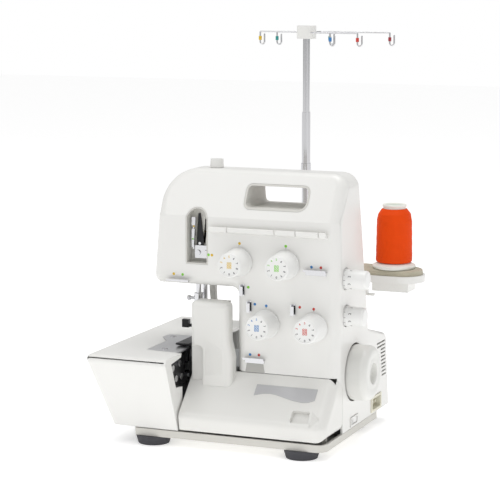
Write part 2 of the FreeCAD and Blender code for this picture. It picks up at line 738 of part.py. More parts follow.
def finger_guard():
    """Upright shell in front of the knives, standing on the looper cover's slope."""
    left, right, top, front = s.guard_left_x, s.guard_right_x, s.guard_top_z, s.guard_front_y
    back = s.front_y + 8
    low = s.lip_z - 25
    block = prism("y", [(left, low), (right + 1.2, low), (right + 1.2, 98.0, 14.0), (right - 3, 117.0, 14.0),
                        (right - 3, top, 4.0), (left, top, 4.0)], front, back)
    block = fillet(block, 6.0, lambda e: all(near(v.Point.y, front) for v in e.Vertexes)
                   and (near(e.CenterOfMass.z, top, 2.0) or e.CenterOfMass.x > right.value - 8
                        or near(e.CenterOfMass.x, left, 2.0)) and e.CenterOfMass.z > low.value + 3)
    step_x, step_z, step = left + 15, s.plate_top_z + 7, 4.5
    recess = prism("y", [(left - 2, low - 2), (step_x, low - 2), (step_x, step_z, 5.0), (left - 2, step_z)],
                   front - 2, front + step)
    hollow = fuse(box(left + wall, right - 4.5 - 1.0, front + step + wall, back + 2, low - 2, top - wall),
                  box(step_x + wall, right - 4.5 - 1.0, front + wall, back + 2, low - 2, top - wall),
                  box(left - 2, left + wall + 1, front + step + wall, back + 2, low - 2, step_z))
    under = slab([(front - 30, s.lip_z - 60), (s.front_y - gap, s.lip_z - 60), (s.front_y - gap, s.lip_z),
                  (front - 30, s.lip_z + (front - 30) - (s.front_y - gap))], left - 5, right + 10)
    behind = box(left - 5, right + 10, s.front_y - gap, back + 5, low - 5, s.lip_z + 2)
    past_column = box(s.throat_x - 9, right + 10, s.front_y - 1.0, back + 5, low - 5, top + 5)
    return cut(block, recess, hollow, under, behind, past_column)


# ---------------------------------------------------------------- cloth plate and needle plate
def hinge_arc(radius_point_x, radius_point_y):
    """Distance of a point from the cloth plate's hinge axis."""
    dx = radius_point_x - s.plate_hinge_x
    dy = radius_point_y - s.plate_hinge_y
    square = dx * dx + dy * dy
    return Size(math.sqrt(square.value), f"sqrt({square.text})")


def plate_outline(margin):
    """Needle plate outline: straight left edge, flared rear lobe."""
    m = Size.of(margin)
    x, right = s.needle_plate_x, s.plate_right_x - 5.5
    return [(x - m, -84.0 - m), (right, -84.0 - m), (right, 12.0 + m), (x + 2, 12.0 + m),
            (x - 13 - m, 11.0 + m, 6.0), (x - 13.5 - m, -6.0, 2.0), (x - m, -25.0 - m, 2.0)]


def build_cloth_plate():
    """Swing-out cloth plate: sloped hollow shell with a notch for the needle plate."""
    top, low, w = s.plate_top_z, s.plate_low_z, s.plate_wall
    foot_y = s.pan_front_y

    def volume(i):
        i = Size.of(i)
        low_z = low if not i.value else low - 2
        front_view = prism("y", [(s.plate_foot_x + i, low_z), (s.plate_right_x - i * 0.9, low_z),
                                 (s.plate_right_x - i * 0.9, top - i), (s.plate_left_x + i, top - i)],
                           s.plate_front_y - 3, s.plate_rear_y - i)
        side_view = prism("x", [(foot_y + i * 1.05, low_z - 0.1), (s.plate_rear_y + 5, low_z - 0.1),
                                (s.plate_rear_y + 5, top + 3 if not i.value else top - i),
                                (s.plate_front_y + i * 1.05 - (0 if i.value else 1.1),
                                 top + 3 if not i.value else top - i)],
                          s.plate_left_x - 5, s.plate_right_x + 5)
        return common(front_view, side_view)

    outer = volume(0)

    def rim(edge):
        middle = edge.CenterOfMass
        ahead = along(edge, "x") and near(middle.z, top) and middle.y < 0
        left = along(edge, "y") and near(middle.z, top) and middle.x < s.plate_foot_x.value
        corner = middle.y < foot_y.value - 2 and middle.x < s.plate_foot_x.value \
            and not along(edge, "x") and not along(edge, "y")
        return ahead or left or corner
    outer = soften(outer, 6.0, rim)
    inner = volume(w)
    window = prism("x", [(-109.0, top - 7), (-97.0, top - 35), (-78.0, top - 37), (-70, top - 37),
                         (-70, top + 5), (-80, top + 5), (-84.0, top - 4)],
                   s.plate_right_x - 6, s.plate_right_x + 1)
    notch = common(prism("z", plate_outline(0.4), top - 9, top + 2),
                   rod("z", hinge_arc(s.needle_plate_x, Size.of(-76.0)) + 0.4, top - 10, top + 3,
                       s.plate_hinge_x, s.plate_hinge_y))
    open_right = box(s.plate_right_x - 6, s.plate_right_x + 1, -80.5, 12.4, low - 5, top + 5)
    open_rear = fuse(box(s.plate_right_x - 6, s.plate_right_x + 1, 12.3, s.plate_rear_y - 20, low - 5, top - w),
                     box(s.plate_right_x - 14, s.plate_right_x + 1, s.plate_rear_y - 22, s.plate_rear_y - w,
                         low - 5, low + 16),
                     box(s.plate_right_x - 6, s.plate_right_x + 1, s.plate_rear_y - 10, s.plate_rear_y + 1,
                         low - 5, low + 16))
    knuckle = rod("z", s.plate_pin_radius + 3.5, top - 34, top - 1, s.plate_hinge_x, s.plate_hinge_y)
    bore = rod("z", s.plate_pin_radius + s.run_gap, top - 36, top - 3, s.plate_hinge_x, s.plate_hinge_y)
    shell = cut(fuse(cut(outer, inner), knuckle), bore, window, notch, open_right, open_rear)
    node("cloth_plate", shell)
    face = common(prism("z", plate_outline(0), top - 1.6, top),
                  rod("z", hinge_arc(s.needle_plate_x, Size.of(-76.0)), top - 5, top + 3,
                      s.plate_hinge_x, s.plate_hinge_y))
    slots = [box(s.needle_x - 9, s.needle_x - 5.5, -46, -8, top - 4, top + 2),
             box(s.needle_x - 15, s.needle_x - 11.5, -46, -8, top - 4, top + 2),
             box(s.needle_x - 4, s.plate_right_x, s.needle_y - 2, s.needle_y + 2, top - 4, top + 2)]
    holes = [rod("z", 1.9, top - 4, top + 2, x, y) for x, y in plate_screw_places()]
    node("needle_plate", cut(face, *slots, *holes))


def plate_screw_places():
    """Two screws near the needle plate's left edge."""
    return [(s.needle_plate_x - 4.0, Size.of(1.0)), (s.needle_plate_x + 17, Size.of(-67.0))]


# ---------------------------------------------------------------- tension dials and guides
def build_tension_dials():
    """Four tension dials on studs, with their disc packs and springs."""
    studs, discs, springs = [], [], []
    face = s.front_y - s.dial_length
    for name, (x, z) in DIALS.items():
        hub = s.stud_radius + s.run_gap
        knob = turned("y", [
            (s.front_y - 0.4, hub), (s.front_y - 0.4, s.dial_flange), (s.front_y - 3.2, s.dial_flange),
            (s.front_y - 4.4, s.dial_flange - 1.2), (face + 1.2, s.dial_radius), (face, s.dial_radius - 1.2),
            (face, s.dial_radius - 2.2), (face + 0.8, s.dial_radius - 2.8), (face + 0.8, 0),
            (face + 2.5, 0), (face + 2.5, hub)], x, z)
        node(f"tension_dial_{name}", knob)
        studs.append(fuse(rod("y", s.stud_radius, face + 3.0, s.front_y + 22, x, z),
                          rod("y", s.stud_radius + 4, s.front_y + 18, s.front_y + 22, x, z)))
        for station in (3.6, 5.4):
            discs.append(tube("y", 9.0, s.stud_radius + 0.1, s.front_y + station, s.front_y + station + 1.2, x, z))
        springs.append(tube("y", 5.5, s.stud_radius + 0.3, s.front_y + 7.2, s.front_y + 17.5, x, z))
    node("tension_studs", group(*studs, *discs))
    presser = [s.needle_x, s.presser_y]
    springs.append(tube("z", 5.4, s.bar_radius + 0.6, s.arm_bottom_z + 56, s.arm_bottom_z + 82, *presser))
    node("springs", group(*springs))


def bent_guide(x0, x1, z, reach):
    """Small folded thread guide standing out of the front face."""
    front = s.front_y
    return fuse(box(x0, x1, front - reach, front, z, z + 0.8),
                box(x0, x1, front - reach, front - reach + 0.8, z, z + 2.4),
                box(x0 + 1, x1 - 1, front - 0.8, front, z - 4.0, z + 0.4))


def hook_clip(x, z):
    """Narrow upright thread clip."""
    front = s.front_y
    return fuse(box(x - 2.2, x + 2.2, front - 0.8, front, z - 6, z + 6),
                box(x - 2.2, x - 1.0, front - 5.0, front, z - 6, z + 6),
                box(x - 2.2, x + 1.6, front - 5.0, front - 4.2, z - 6, z + 4))


def build_guides():
    """Thread ledge, folded guides, clips and the guide under the arm's end."""
    front = s.front_y
    ledge = prism("x", [(front, 231.0), (front - 5.5, 233.0, 1.0), (front - 6.5, 237.5, 1.0), (front - 4.8, 238.2),
                        (front - 4.0, 235.0), (front, 235.8)], s.dial_left_x - 33, s.dial_right_x + 15)
    notches = [box(x, x + 1.2, front - 8, front - 3.5, 229, 240)
               for x in (s.dial_left_x - 12.5, s.dial_mid_x - 12, s.dial_mid_x + 12, s.dial_right_x + 6)]
    node("thread_ledge", cut(ledge, *notches))
    low = s.arm_bottom_z
    end_guide = fuse(box(s.arm_low_x + 20, s.arm_low_x + 46, front - 6.0, front, low + 4.2, low + 5.0),
                     box(s.arm_low_x + 20, s.arm_low_x + 46, front - 6.0, front - 5.2, low + 4.2, low + 6.4))
    node("thread_guides", group(
        bent_guide(s.dial_right_x - 10.5, s.dial_right_x + 15, 195.5, 6.0),
        bent_guide(s.dial_low_x - 25, s.dial_low_x - 1, 95.5, 6.0), hook_clip(s.dial_left_x + 4.4, 171.0),
        hook_clip(s.dial_low_x - 18.9, 153.4), hook_clip(s.dial_mid_x + 9.2, 153.2), end_guide))


# ---------------------------------------------------------------- needle side
def build_needle_side():
    """Levers in the arm's slot, needle bar, presser bar, foot, lifter and pressure screw."""
    x, y = s.needle_x, s.needle_y
    back = s.front_y + s.slot_depth
    low = s.arm_bottom_z
    guide_z = s.slot_low_z + 4
    hole_z = guide_z + 6
    guide = cut(fuse(box(s.slot_x - 6, s.slot_x + 10.5, back - 4.2, back - 3.0, guide_z, guide_z + 14),
                     box(s.slot_x - 6, s.slot_x + 10.5, back - 3.0, back, guide_z, guide_z + 1.0)),
                *[rod("y", 1.7, back - 6, back + 1, s.slot_x + dx, hole_z) for dx in (-2.5, 6.5)])
    guide_screws = [fuse(rod("y", 1.5, back - 4.2, back, s.slot_x + dx, hole_z),
                         rod("y", 3.0, back - 5.9, back - 4.2, s.slot_x + dx, hole_z)) for dx in (-2.5, 6.5)]
    hook_lever = fuse(
        prism("y", [(s.slot_x - 10.8, guide_z + 12), (s.slot_x - 6.4, guide_z + 12),
                    (s.slot_x - 5.2, guide_z + 32), (s.slot_x - 9.0, guide_z + 32)], back - 6.5, back - 4.9),
        prism("y", [(s.slot_x - 9.6, guide_z + 36), (s.slot_x - 4.6, guide_z + 36),
                    (s.slot_x - 4.2, guide_z + 45), (s.slot_x - 9.2, guide_z + 45)], back - 6.5, back - 4.9),
        box(s.slot_x - 8.2, s.slot_x - 6.4, back - 5.2, back - 4.0, guide_z + 10, guide_z + 44),
        box(s.slot_x - 8.2, s.slot_x - 6.4, back - 4.4, back, guide_z + 24, guide_z + 28))
    pivot_x, pivot_z = s.slot_x - 0.8, s.slot_low_z + 20
    lever_y = back - 2.4
    node("needle_thread_guide", group(guide, *guide_screws, hook_lever,
                                      rod("y", 1.5, lever_y - 0.8, back, pivot_x, pivot_z)))
    node("take_up_lever", cut(fuse(
        prism("y", [(s.slot_x - 4.5, pivot_z - 5, 2.0), (s.slot_x + 3.0, pivot_z - 5, 2.0),
                    (s.slot_x + 3.4, pivot_z + 5), (s.slot_x - 0.6, pivot_z + 33, 1.0),
                    (s.slot_x - 2.6, pivot_z + 33, 1.0), (s.slot_x - 4.5, pivot_z + 6)], lever_y, lever_y + 1.6),
        rod("y", 3.2, lever_y, lever_y + 2.0, pivot_x, pivot_z)),
        rod("y", 1.5 + s.run_gap, lever_y - 1, lever_y + 5, pivot_x, pivot_z)))

    bar, gap_run = s.bar_radius, s.run_gap
    node("needle_bar", rod("z", bar, low - 24, s.crease_z + 2, x, y))
    clamp = fuse(tube("z", 5.2, bar, low - 24, low - 12, x, y), rod("x", 1.6, x - 10, x - 4.4, y, low - 18),
                 rod("x", 2.6, x - 13, x - 10, y, low - 18))
    needles = []
    for dx in (-1.6, 1.6):
        needles.append(fuse(rod("z", 1.0, low - 38, low - 24, x + dx, y),
                            taper("z", 0.25, 0.7, low - 66, low - 38, x + dx, y)))
    node("needle_clamp", group(clamp, *needles))
    py = s.presser_y
    node("bar_bushes", group(*[tube("z", bar + 3, bar + gap_run, z0, z0 + 9, x, yy)
                               for z0 in (low + 5.5, low + 46) for yy in (y, py)]))
    top = s.plate_top_z
    ankle = prism("x", [(py - 5, low - 66), (py + 5, low - 66), (py + 5, low - 46), (py - 5, low - 46)], x - 5, x + 5)
    sole = prism("x", [(-52, top + 2.6), (-54, top + 4.6, 1.0), (-44, top + 4.3), (2, top + 4.3), (2, top + 0.7),
                       (-46, top + 0.7, 3.0)], x - 18, x - 3.4)
    holder = cut(fuse(box(x - 9, x + 3, py - 6, py + 6, top + 4.35, top + 12), ankle,
                      box(x - 24, x - 5, py - 1.5, py + 1.5, top + 16, top + 19),
                      box(x - 27, x - 19, py - 2.5, py + 2.5, top + 15, top + 24)),
                 rod("z", bar, low - 51, low - 40, x, py))
    node("presser_foot", group(sole, holder))
    lift_y, lift_z = py + 15, low + 14
    node("presser_bar", fuse(rod("z", bar, low - 50, s.body_top_z - 30, x, py),
                             rod("z", 5.0, lift_z + 4.0, lift_z + 12, x, py),
                             box(x - 4, x + 5, py, lift_y + 10, lift_z + 4.0, lift_z + 7.0)))
    node("presser_lifter", cut(fuse(
        prism("x", [(lift_y - 2, lift_z + 2.5), (lift_y - 3, lift_z - 5), (lift_y - 2, low - 14),
                    (lift_y + 1, low - 26), (lift_y + 6, low - 35), (lift_y + 9, low - 33), (lift_y + 5, low - 24),
                    (lift_y + 3.5, low - 12), (lift_y + 4, lift_z - 1), (lift_y + 7.2, lift_z + 1.6),
                    (lift_y + 7.2, lift_z + 2.4), (lift_y + 6, lift_z + 3.6)], x, x + 6.5),
        rod("x", 3.5, x, x + 6.5, lift_y, lift_z)),
        rod("x", 1.5 + gap_run, x - 1, x + 8, lift_y, lift_z)))
    node("pressure_screw", fuse(
        taper("z", 7.7, 7.0, s.body_top_z + 0.3, s.body_top_z + 9.5, s.knob_x, s.knob_y),
        rod("z", 5.0, s.body_top_z - 14, s.body_top_z + 0.3, s.knob_x, s.knob_y)))


# ---------------------------------------------------------------- knives, loopers, feed
def build_stitch_parts():
    """Knives, loopers and feed dog around the needle plate."""
    x, y, top = s.needle_x, s.needle_y, s.plate_top_z
    low_z = s.lip_z - 40
    kx = s.needle_x + 0.8
    arm = fuse(
        prism("x", [(-58, top - 34), (-48, top - 37), (-40, top - 20), (-38, top + 6, 2.0), (-50, top + 8, 2.0),
                    (-58, top - 8)], kx, kx + 3.2),
        rod("x", 4.5, kx, kx + 3.2, -52, top - 30))
    node("upper_knife", fuse(arm, prism("x", [(-49, top - 2), (-36.5, top - 2), (-36.5, top + 3.2),
                                              (-49, top + 5.5)], kx - 1.0, kx)))
    holder = fuse(prism("x", [(-106, top - 8), (-95, top - 34), (-80, top - 36), (-64, top - 36),
                              (-60, top - 12), (-66, top - 3.2), (-84, top - 4)], x - 8, x - 3.4),
                  box(x - 8, x - 3.4, -66, -48, top - 36, top - 26),
                  box(x - 8, x - 2.7, -66, -46, top - 14, top - 4))
    node("lower_knife", group(cut(holder, *[rod("x", 1.6, x - 10, x, yy, top + zz) for yy, zz in HOLDER_SCREWS]),
                              box(x - 2.7, x - 1.5, -58, -36, top - 14, top - 0.4)))
    node("upper_looper", fuse(
        prism("x", [(-22, low_z), (-12, low_z), (-14, top - 30), (-22, top - 12), (-28, top - 8, 1.0),
                    (-30, top - 12, 1.0), (-24, top - 20), (-22, top - 32)], x + 12, x + 15),
        rod("x", 5.0, x + 12, x + 15, -17, low_z)))
    node("lower_looper", fuse(
        prism("x", [(-34, low_z - 6), (-26, low_z - 6), (-27, top - 40), (-36, top - 26, 1.0), (-42, top - 24, 1.0),
                    (-38, top - 30), (-33, top - 42)], x + 18, x + 21),
        rod("x", 4.5, x + 18, x + 21, -30, low_z - 6)))
    bed_x, rear, front, bed_z = s.throat_x - gap, s.rear_y - 1, -44.0, s.lip_z + 3
    foot_z = s.foot_height + s.pan_height + 0.6
    left_edge, step_x, step_y = s.needle_x + 5, s.needle_x + 23, 14.0

    def bed_shape(m, z0, z1):
        return fuse(box(step_x + m, bed_x - m, front + m, rear - m, z0, z1),
                    box(left_edge + m, bed_x - m, step_y + m, rear - m, z0, z1))
    node("bed_cover", cut(bed_shape(0, foot_z, bed_z), bed_shape(wall, foot_z - 1, bed_z - wall),
                          rod("x", 3.2, step_x - 5, step_x + 5, -30, low_z - 6)))
    lift_y, lift_z = s.presser_y + 15, s.arm_bottom_z + 14
    node("pivot_pins", group(
        rod("x", 2.5, x + 15.3, step_x, -17, low_z), rod("x", 2.5, x + 21.3, x + 32, -30, low_z - 6),
        rod("x", 2.0, x - 3.4, kx - 0.3, -52, top - 30), rod("x", 1.5, x - 10, x + 8, lift_y, lift_z),
        rod("z", s.plate_pin_radius, s.plate_low_z + 2.5, top - 4, s.plate_hinge_x, s.plate_hinge_y)))
    teeth = [prism("x", [(-44 + 2.4 * i, top - 3), (-41.8 + 2.4 * i, top - 3), (-41.8 + 2.4 * i, top - 2.2),
                         (-44 + 2.4 * i, top - 1.9)], x - 8.9, x - 5.6) for i in range(13)]
    node("feed_dog", fuse(box(x - 8.9, x - 5.6, -44, -12, top - 7, top - 2.9),
                          box(x - 14.9, x - 11.6, -44, -12, top - 7, top - 2.3),
                          box(x - 14.9, x - 5.6, -38, -14, top - 10, top - 6.9), *teeth))


HOLDER_SCREWS = ((-96.0, -14.0), (-78.0, -12.0), (-88.0, -27.0), (-74.0, -27.0))


# ---------------------------------------------------------------- drive
def build_drive():
    """Main shaft, handwheel, belt, motor, and the casting that carries them."""
    sy, sz, r = s.shaft_y, s.shaft_z, s.shaft_radius
    side = s.side_x
    left = s.throat_x + 14
    face = side + s.wheel_reach
    wheel = turned("x", [
        (side - 7, r), (side - 7, r + 5), (side - 2, s.wheel_radius - 1), (side + 1, s.wheel_radius),
        (face - 6.5, s.wheel_radius), (face - 3.0, s.wheel_radius - 1.3), (face - 0.8, s.wheel_radius - 4.2),
        (face, s.wheel_radius - 8), (face, s.wheel_bore + 0.8), (face - 0.8, s.wheel_bore),
        (face - 7, s.wheel_bore - 1), (face - 8, 0), (face - 9, 0), (face - 9, r)], sy, sz)
    node("handwheel", wheel)
    bushes = [tube("x", r + 4, r + s.run_gap, x0, x0 + 12, sy, sz) for x0 in (left + 4, side - 36)]
    node("main_shaft_bushes", group(*bushes))
    belt_x = side - 52
    width = 8.0
    gap_belt = 0.3
    node("main_shaft", fuse(rod("x", r, left, side + s.wheel_reach - 9, sy, sz),
                            rod("x", s.big_pulley, belt_x, belt_x + width, sy, sz)))
    my, mz = s.motor_y, s.motor_z
    node("motor_pulley", fuse(rod("x", s.small_pulley, belt_x, belt_x + width, my, mz),
                              rod("x", 3.0, belt_x - 4, side - 36, my, mz)))
    motor = cut(fuse(rod("x", s.motor_radius, side - 40, side - 8, my, mz),
                     rod("x", 9.0, side - 43, side - 40, my, mz)),
                rod("x", 3.0 + s.run_gap, side - 46, side - 30, my, mz))
    node("motor", motor)
    node("drive_belt", belt(belt_x + 0.5, width - 1.0, gap_belt))
    low = s.foot_height + s.pan_wall + gap
    plate = box(s.pan_left_x + 8, side - 8, s.shaft_y - 20, s.pan_rear_y - 6, low, low + 5)
    posts = [box(x0, x0 + 12, sy - 14, sy + 14, low + 5.02, 236) for x0 in (left + 4, side - 36)]
    arm_beam = box(s.arm_low_x + 12, side - 24, sy + 4, sy + 13, 226, 240)
    stud_y = s.front_y + 22
    stud_plate = fuse(box(s.dial_left_x - 12, side - 20, stud_y, stud_y + 4, s.arm_bottom_z + 5, 222),
                      box(s.throat_x + 7, side - 20, stud_y, stud_y + 4, 120, s.arm_bottom_z + 10))
    ties = [box(x0, x0 + 8, stud_y + 4, sy - 13, 120, 222) for x0 in (left + 6, side - 34)]
    bush_low, bush_high = s.arm_bottom_z + 5.5, s.arm_bottom_z + 46
    carriers = [box(s.needle_x - 12, s.needle_x + 4, s.needle_y - 7.5, s.presser_y + 8, z + 1, z + 8)
                for z in (bush_low, bush_high)]
    spine = box(s.needle_x - 18, s.needle_x - 10, s.needle_y - 7, sy + 10, s.arm_bottom_z + 5, 232)
    bed_left, top = s.needle_plate_x + 1, s.plate_top_z
    bed = fuse(box(bed_left, s.needle_x - 16, -72, 8, top - 6, top - 1.6),
               box(bed_left - 7.5, bed_left + 8, -5, 8, top - 8, top - 1.6))
    bed_wall = box(bed_left, bed_left + 8, -70, 60, low + 5.02, top - 6)
    bed_back = box(bed_left, s.needle_x - 3, 12.5, 20, low + 5.02, top - 6)
    holder_foot = box(s.needle_x - 16, s.needle_x - 8, -90, -60, top - 34, top - 20)
    holder_beam = box(bed_left, s.needle_x - 12, -70, -62, top - 34, top - 26)
    dog_post = box(s.needle_x - 14, s.needle_x - 7, 0, 13, top - 30, top - 12)
    foot_top = low + 12
    hinge_foot = fuse(box(s.plate_hinge_x - 12, s.plate_hinge_x + 10, 66, s.plate_hinge_y + 9, low + 5, foot_top),
                      rod("z", 6.5, foot_top, foot_top + 6, s.plate_hinge_x, s.plate_hinge_y))
    motor_mount = box(side - 38, side - 24, my - 10, my + 10, low + 5, mz - s.motor_radius + 3)
    belt_room = box(belt_x - 2, belt_x + width + 2, sy - 22, my + 20, low + 4, 110)
    motor_room = rod("x", s.motor_radius, side - 45, side, my, mz)
    deck = cut(fuse(plate, hinge_foot, motor_mount), motor_room, belt_room,
               rod("z", s.plate_pin_radius, low + 7, low + 30, s.plate_hinge_x, s.plate_hinge_y))
    column = cut(fuse(*posts, arm_beam, stud_plate, *ties, *carriers, spine), motor_room, belt_room,
                 rod("x", r + 4, left - 2, side, sy, sz),
                 *[rod("z", s.bar_radius + 3, z, z + 9, s.needle_x, yy)
                   for z in (bush_low, bush_high) for yy in (s.needle_y, s.presser_y)])
    table = cut(fuse(bed, bed_wall, bed_back, holder_foot, holder_beam, dog_post),
                *[rod("z", 1.8, top - 9, top, x, y) for x, y in plate_screw_places()])
    node("machine_frame", group(deck, column, table))


def belt(x0, width, clear):
    """Loop of belt round the two pulleys, as two tangent runs and two arcs."""
    r1, r2 = (s.big_pulley + clear).value, (s.small_pulley + clear).value
    c1 = Vector(0, s.shaft_y.value, s.shaft_z.value)
    c2 = Vector(0, s.motor_y.value, s.motor_z.value)
    thick = 2.5

    def loop(grow):
        a, b = r1 + grow, r2 + grow
        span = c2 - c1
        base = math.atan2(span.z, span.y)
        lean = math.acos((a - b) / span.Length)

        def at(centre, radius, angle):
            return centre + Vector(0, math.cos(angle), math.sin(angle)) * radius
        up, down = base + lean, base - lean
        far = base + math.pi
        return Part.Wire([
            Part.Arc(at(c1, a, up), at(c1, a, far), at(c1, a, down)).toShape(),
            Part.LineSegment(at(c1, a, down), at(c2, b, down)).toShape(),
            Part.Arc(at(c2, b, down), at(c2, b, base), at(c2, b, up)).toShape(),
            Part.LineSegment(at(c2, b, up), at(c1, a, up)).toShape()])
    face = Part.Face([loop(thick), loop(0)])
    if not face.isValid():
        face = Part.Face(loop(thick)).cut(Part.Face(loop(0)))
    solid = face.extrude(Vector(width, 0, 0))
    strip = made("Part::Feature", "belt")
    strip.Shape = solid
    strip.Placement = Placement(Vector(x0.value, 0, 0), Rotation())
    return strip


def build_side():
    """Side dials, power inlet and switch."""
    side = s.side_x
    for name, y, z, reach in (("stitch_length_dial", s.stitch_y, s.stitch_z, s.stitch_reach),
                              ("differential_feed_dial", s.feed_y, s.feed_z, s.feed_reach)):
        face, r = side + reach, s.side_dial_radius
        node(name, fuse(turned("x", [
            (side - 6, 0), (side - 6, r), (side + 3, r), (side + 3.6, r - 0.7), (face - 1.4, r - 1.4),
            (face, r - 2.8), (face, 0)], y, z), rod("x", 3.0, side - 20, side - 6, y, z)))
    block = inlet_block(0)
    mouth = box(side - 14, side + 3, 61, 89, floor_z + 4.5, floor_z + 17)
    pins = [rod("x", 1.6, side - 14, side - 3, 75 + dy, floor_z + 10.7) for dy in (-7.5, 0, 7.5)]
    node("power_inlet", group(cut(block, mouth), *pins))
    node("power_switch", cut(switch_block(0), box(side - 10, side + 3, -9.5, 9.5, floor_z + 3.5, floor_z + 10)))
    node("switch_rocker", prism("z", [(side - 6.0, -8.6), (side + 1.4, -8.6), (side - 0.2, 0), (side - 0.2, 0.1),
                                      (side + 0.2, 8.6), (side - 6.0, 8.6)], floor_z + 3.8, floor_z + 9.7))


# ---------------------------------------------------------------- thread stand
def build_thread_stand():
    """Bracket, tray, foam, pins, cone of thread, telescopic pole and guide wires."""
    px, py = s.pole_x, s.stand_y
    low, rim_z, foam = s.tray_low_z, s.tray_high_z, s.foam_top_z
    half, deep = s.tray_half, s.tray_depth
    r = deep / 2
    node("stand_bracket", cut(
        prism("x", [(s.shaft_y + 14, 152), (s.shaft_y + 14, 174), (s.rear_y + 4, 174), (py - 30, low), (py + 12, low),
                    (py + 12, low - 8), (s.rear_y + 16, low - 12)], px - 12, px + 12),
        rod("z", s.pole_low_radius + 0.2, low - 20, low + 10, px, py)))

    def stadium(margin, z0, z1):
        m = Size.of(margin)
        return fuse(box(px - half + r, px + half - r, py - r + m, py + r - m, z0, z1),
                    rod("z", r - m, z0, z1, px - half + r, py), rod("z", r - m, z0, z1, px + half - r, py))
    pins_x = [px - s.pin_pitch * 1.5, px - s.pin_pitch * 0.5, px + s.pin_pitch * 0.5, px + s.pin_pitch * 1.5]
    pole_hole = rod("z", s.pole_low_radius + 0.2, low - 30, foam + 5, px, py)
    bosses = [box(x - 21, x + 21, py - 14, py + 14, low - 11, low) for x in (pins_x[0], pins_x[3])]
    tray = cut(fuse(stadium(0, low, rim_z), *bosses), stadium(2.2, low + 2.5, rim_z + 3), pole_hole)
    hook = box(px + half - 68, px + half - 58, py - 3, py + 3, low - 19, low)
    node("spool_tray", group(tray, cut(hook, box(px + half - 66, px + half - 57, py - 8, py + 8, low - 17, low - 6),
                                     box(px + half - 66, px + half - 57, py - 8, py + 8, low - 7, low + 1))))
    holes = [rod("z", 4.4, low, foam + 3, x, py) for x in pins_x]
    node("foam_mat", cut(stadium(2.5, low + 2.5, foam), pole_hole, *holes))
    node("spool_pins", group(*[
        fuse(rod("z", 4.0, low + 2.5, foam + 2, x, py), rod("z", 3.0, foam + 2, s.pin_top_z - 2.5, x, py),
             taper("z", 3.0, 1.8, s.pin_top_z - 2.5, s.pin_top_z, x, py)) for x in pins_x]))
    cx = pins_x[3]
    node("cone_spool", turned("z", [
        (foam + 0.3, 5.0), (foam + 0.3, 23.0), (foam + 2.0, 24.2), (foam + 4.0, 24.2), (foam + 6.5, 19.0), (foam + 7.0, 15.0),
        (250.0 - 1.0, 12.5), (250.0, 13.5), (252.0, 13.5), (252.5, 12.5), (251.5, 10.5), (249.5, 10.0), (249.5, 5.0)], cx, py))
    node("wound_thread", turned("z", [
        (foam + 7.2, 15.3), (foam + 7.2, 19.4), (foam + 9.5, 20.6), (234.0, 19.6), (241.5, 18.2), (247.0, 14.2), (247.5, 12.9)],
        cx, py))
    joint = s.pole_joint_z
    lower = turned("z", [
        (low - 6, 0), (low - 6, s.pole_low_radius), (joint, s.pole_low_radius),
        (joint, s.pole_high_radius + s.run_gap), (low + 20, s.pole_high_radius + s.run_gap), (low + 20, 0)], px, py)
    collar = tube("z", s.pole_low_radius + 0.9, s.pole_low_radius, 284, 294, px, py)
    node("pole_lower", fuse(lower, collar))
    block_low, block_top = s.block_low_z, s.block_top_z
    node("pole_upper", rod("z", s.pole_high_radius, joint - 22, block_low + 6, px, py))
    block = prism("z", [(px - 10.5, py - 7, 5.0), (px + 10.5, py - 7, 5.0), (px + 10.5, py + 7, 5.0), (px - 10.5, py + 7, 5.0)],
                  block_low, block_top)
    node("guide_block", cut(block, rod("z", s.pole_high_radius, block_low - 1, block_low + 6, px, py)))
    build_guide_wires(px, py, (block_low + block_top) / 2)


def build_guide_wires(px, py, z):
    """Three chrome wires with drop hooks, and their coloured beads."""
    hooks = {"left": [(-56.0, 0.0), (-35.5, 0.0)], "front": [(34.0, -16.0), (66.0, -16.0)],
             "back": [(22.0, 16.0), (93.0, 16.0)]}
    starts = {"left": (-11.0, 0.0), "front": (8.0, -7.5), "back": (8.0, 7.5)}
    wires, beads = [], []
    r = s.wire_radius
    for name, places in hooks.items():
        sx, sy = starts[name]
        far = max(places, key=lambda p: abs(p[0]))
        points = [(px + sx, py + sy, z), (px + sx + (4 if sx > 0 else -4), py + (far[1] or sy), z),
                  (px + far[0], py + far[1], z)]
        rail = wire_path(f"rail_{name}", r, points, 5.0)
        parts = [rail]
        for hx, hy in places:
            step = 2.6
            drop = [(px + hx, py + hy, z), (px + hx, py + hy, z - 14), (px + hx + 2 * step, py + hy, z - 14),
                    (px + hx + 2 * step, py + hy, z - 3.0)]
            parts.append(wire_path(f"hook_{name}", r, drop, 2.5))
            parts.append(ball(r, px + hx + 2 * step, py + hy, z - 3.0))
            beads.append(tube("z", 1.7, r + 0.05, z - 9.5, z - 5.0, px + hx, py + hy))
        wires.append(fuse(*parts))
    node("guide_wires", group(*wires))
    node("guide_beads", group(*beads))


def build_fasteners():
    """Screws of the back cover, the needle plate and the lower knife's holder."""
    screws = []
    for x in (s.throat_x + 12, s.bulge_left_x - 12):
        for z in (34.0, 108.0):
            screws.append(cut(rod("y", 3.6, s.rear_y, s.rear_y + 1.6, x, z),
                              box(x - 3, x + 3, s.rear_y + 0.9, s.rear_y + 2, z - 0.5, z + 0.5)))
    top = s.plate_top_z
    for x, y in plate_screw_places():
        screws.append(cut(fuse(rod("z", 1.7, top - 8, top + 0.2, x, y), taper("z", 3.6, 3.3, top, top + 0.7, x, y)),
                          box(x - 4, x + 4, y - 0.4, y + 0.4, top + 0.3, top + 1)))
    x = s.needle_x
    for y, drop in HOLDER_SCREWS:
        screws.append(fuse(rod("x", 1.5, x - 7.5, x - 3.4, y, top + drop),
                           rod("x", 3.6, x - 3.4, x - 1.2, y, top + drop)))
    node("screws", group(*screws))


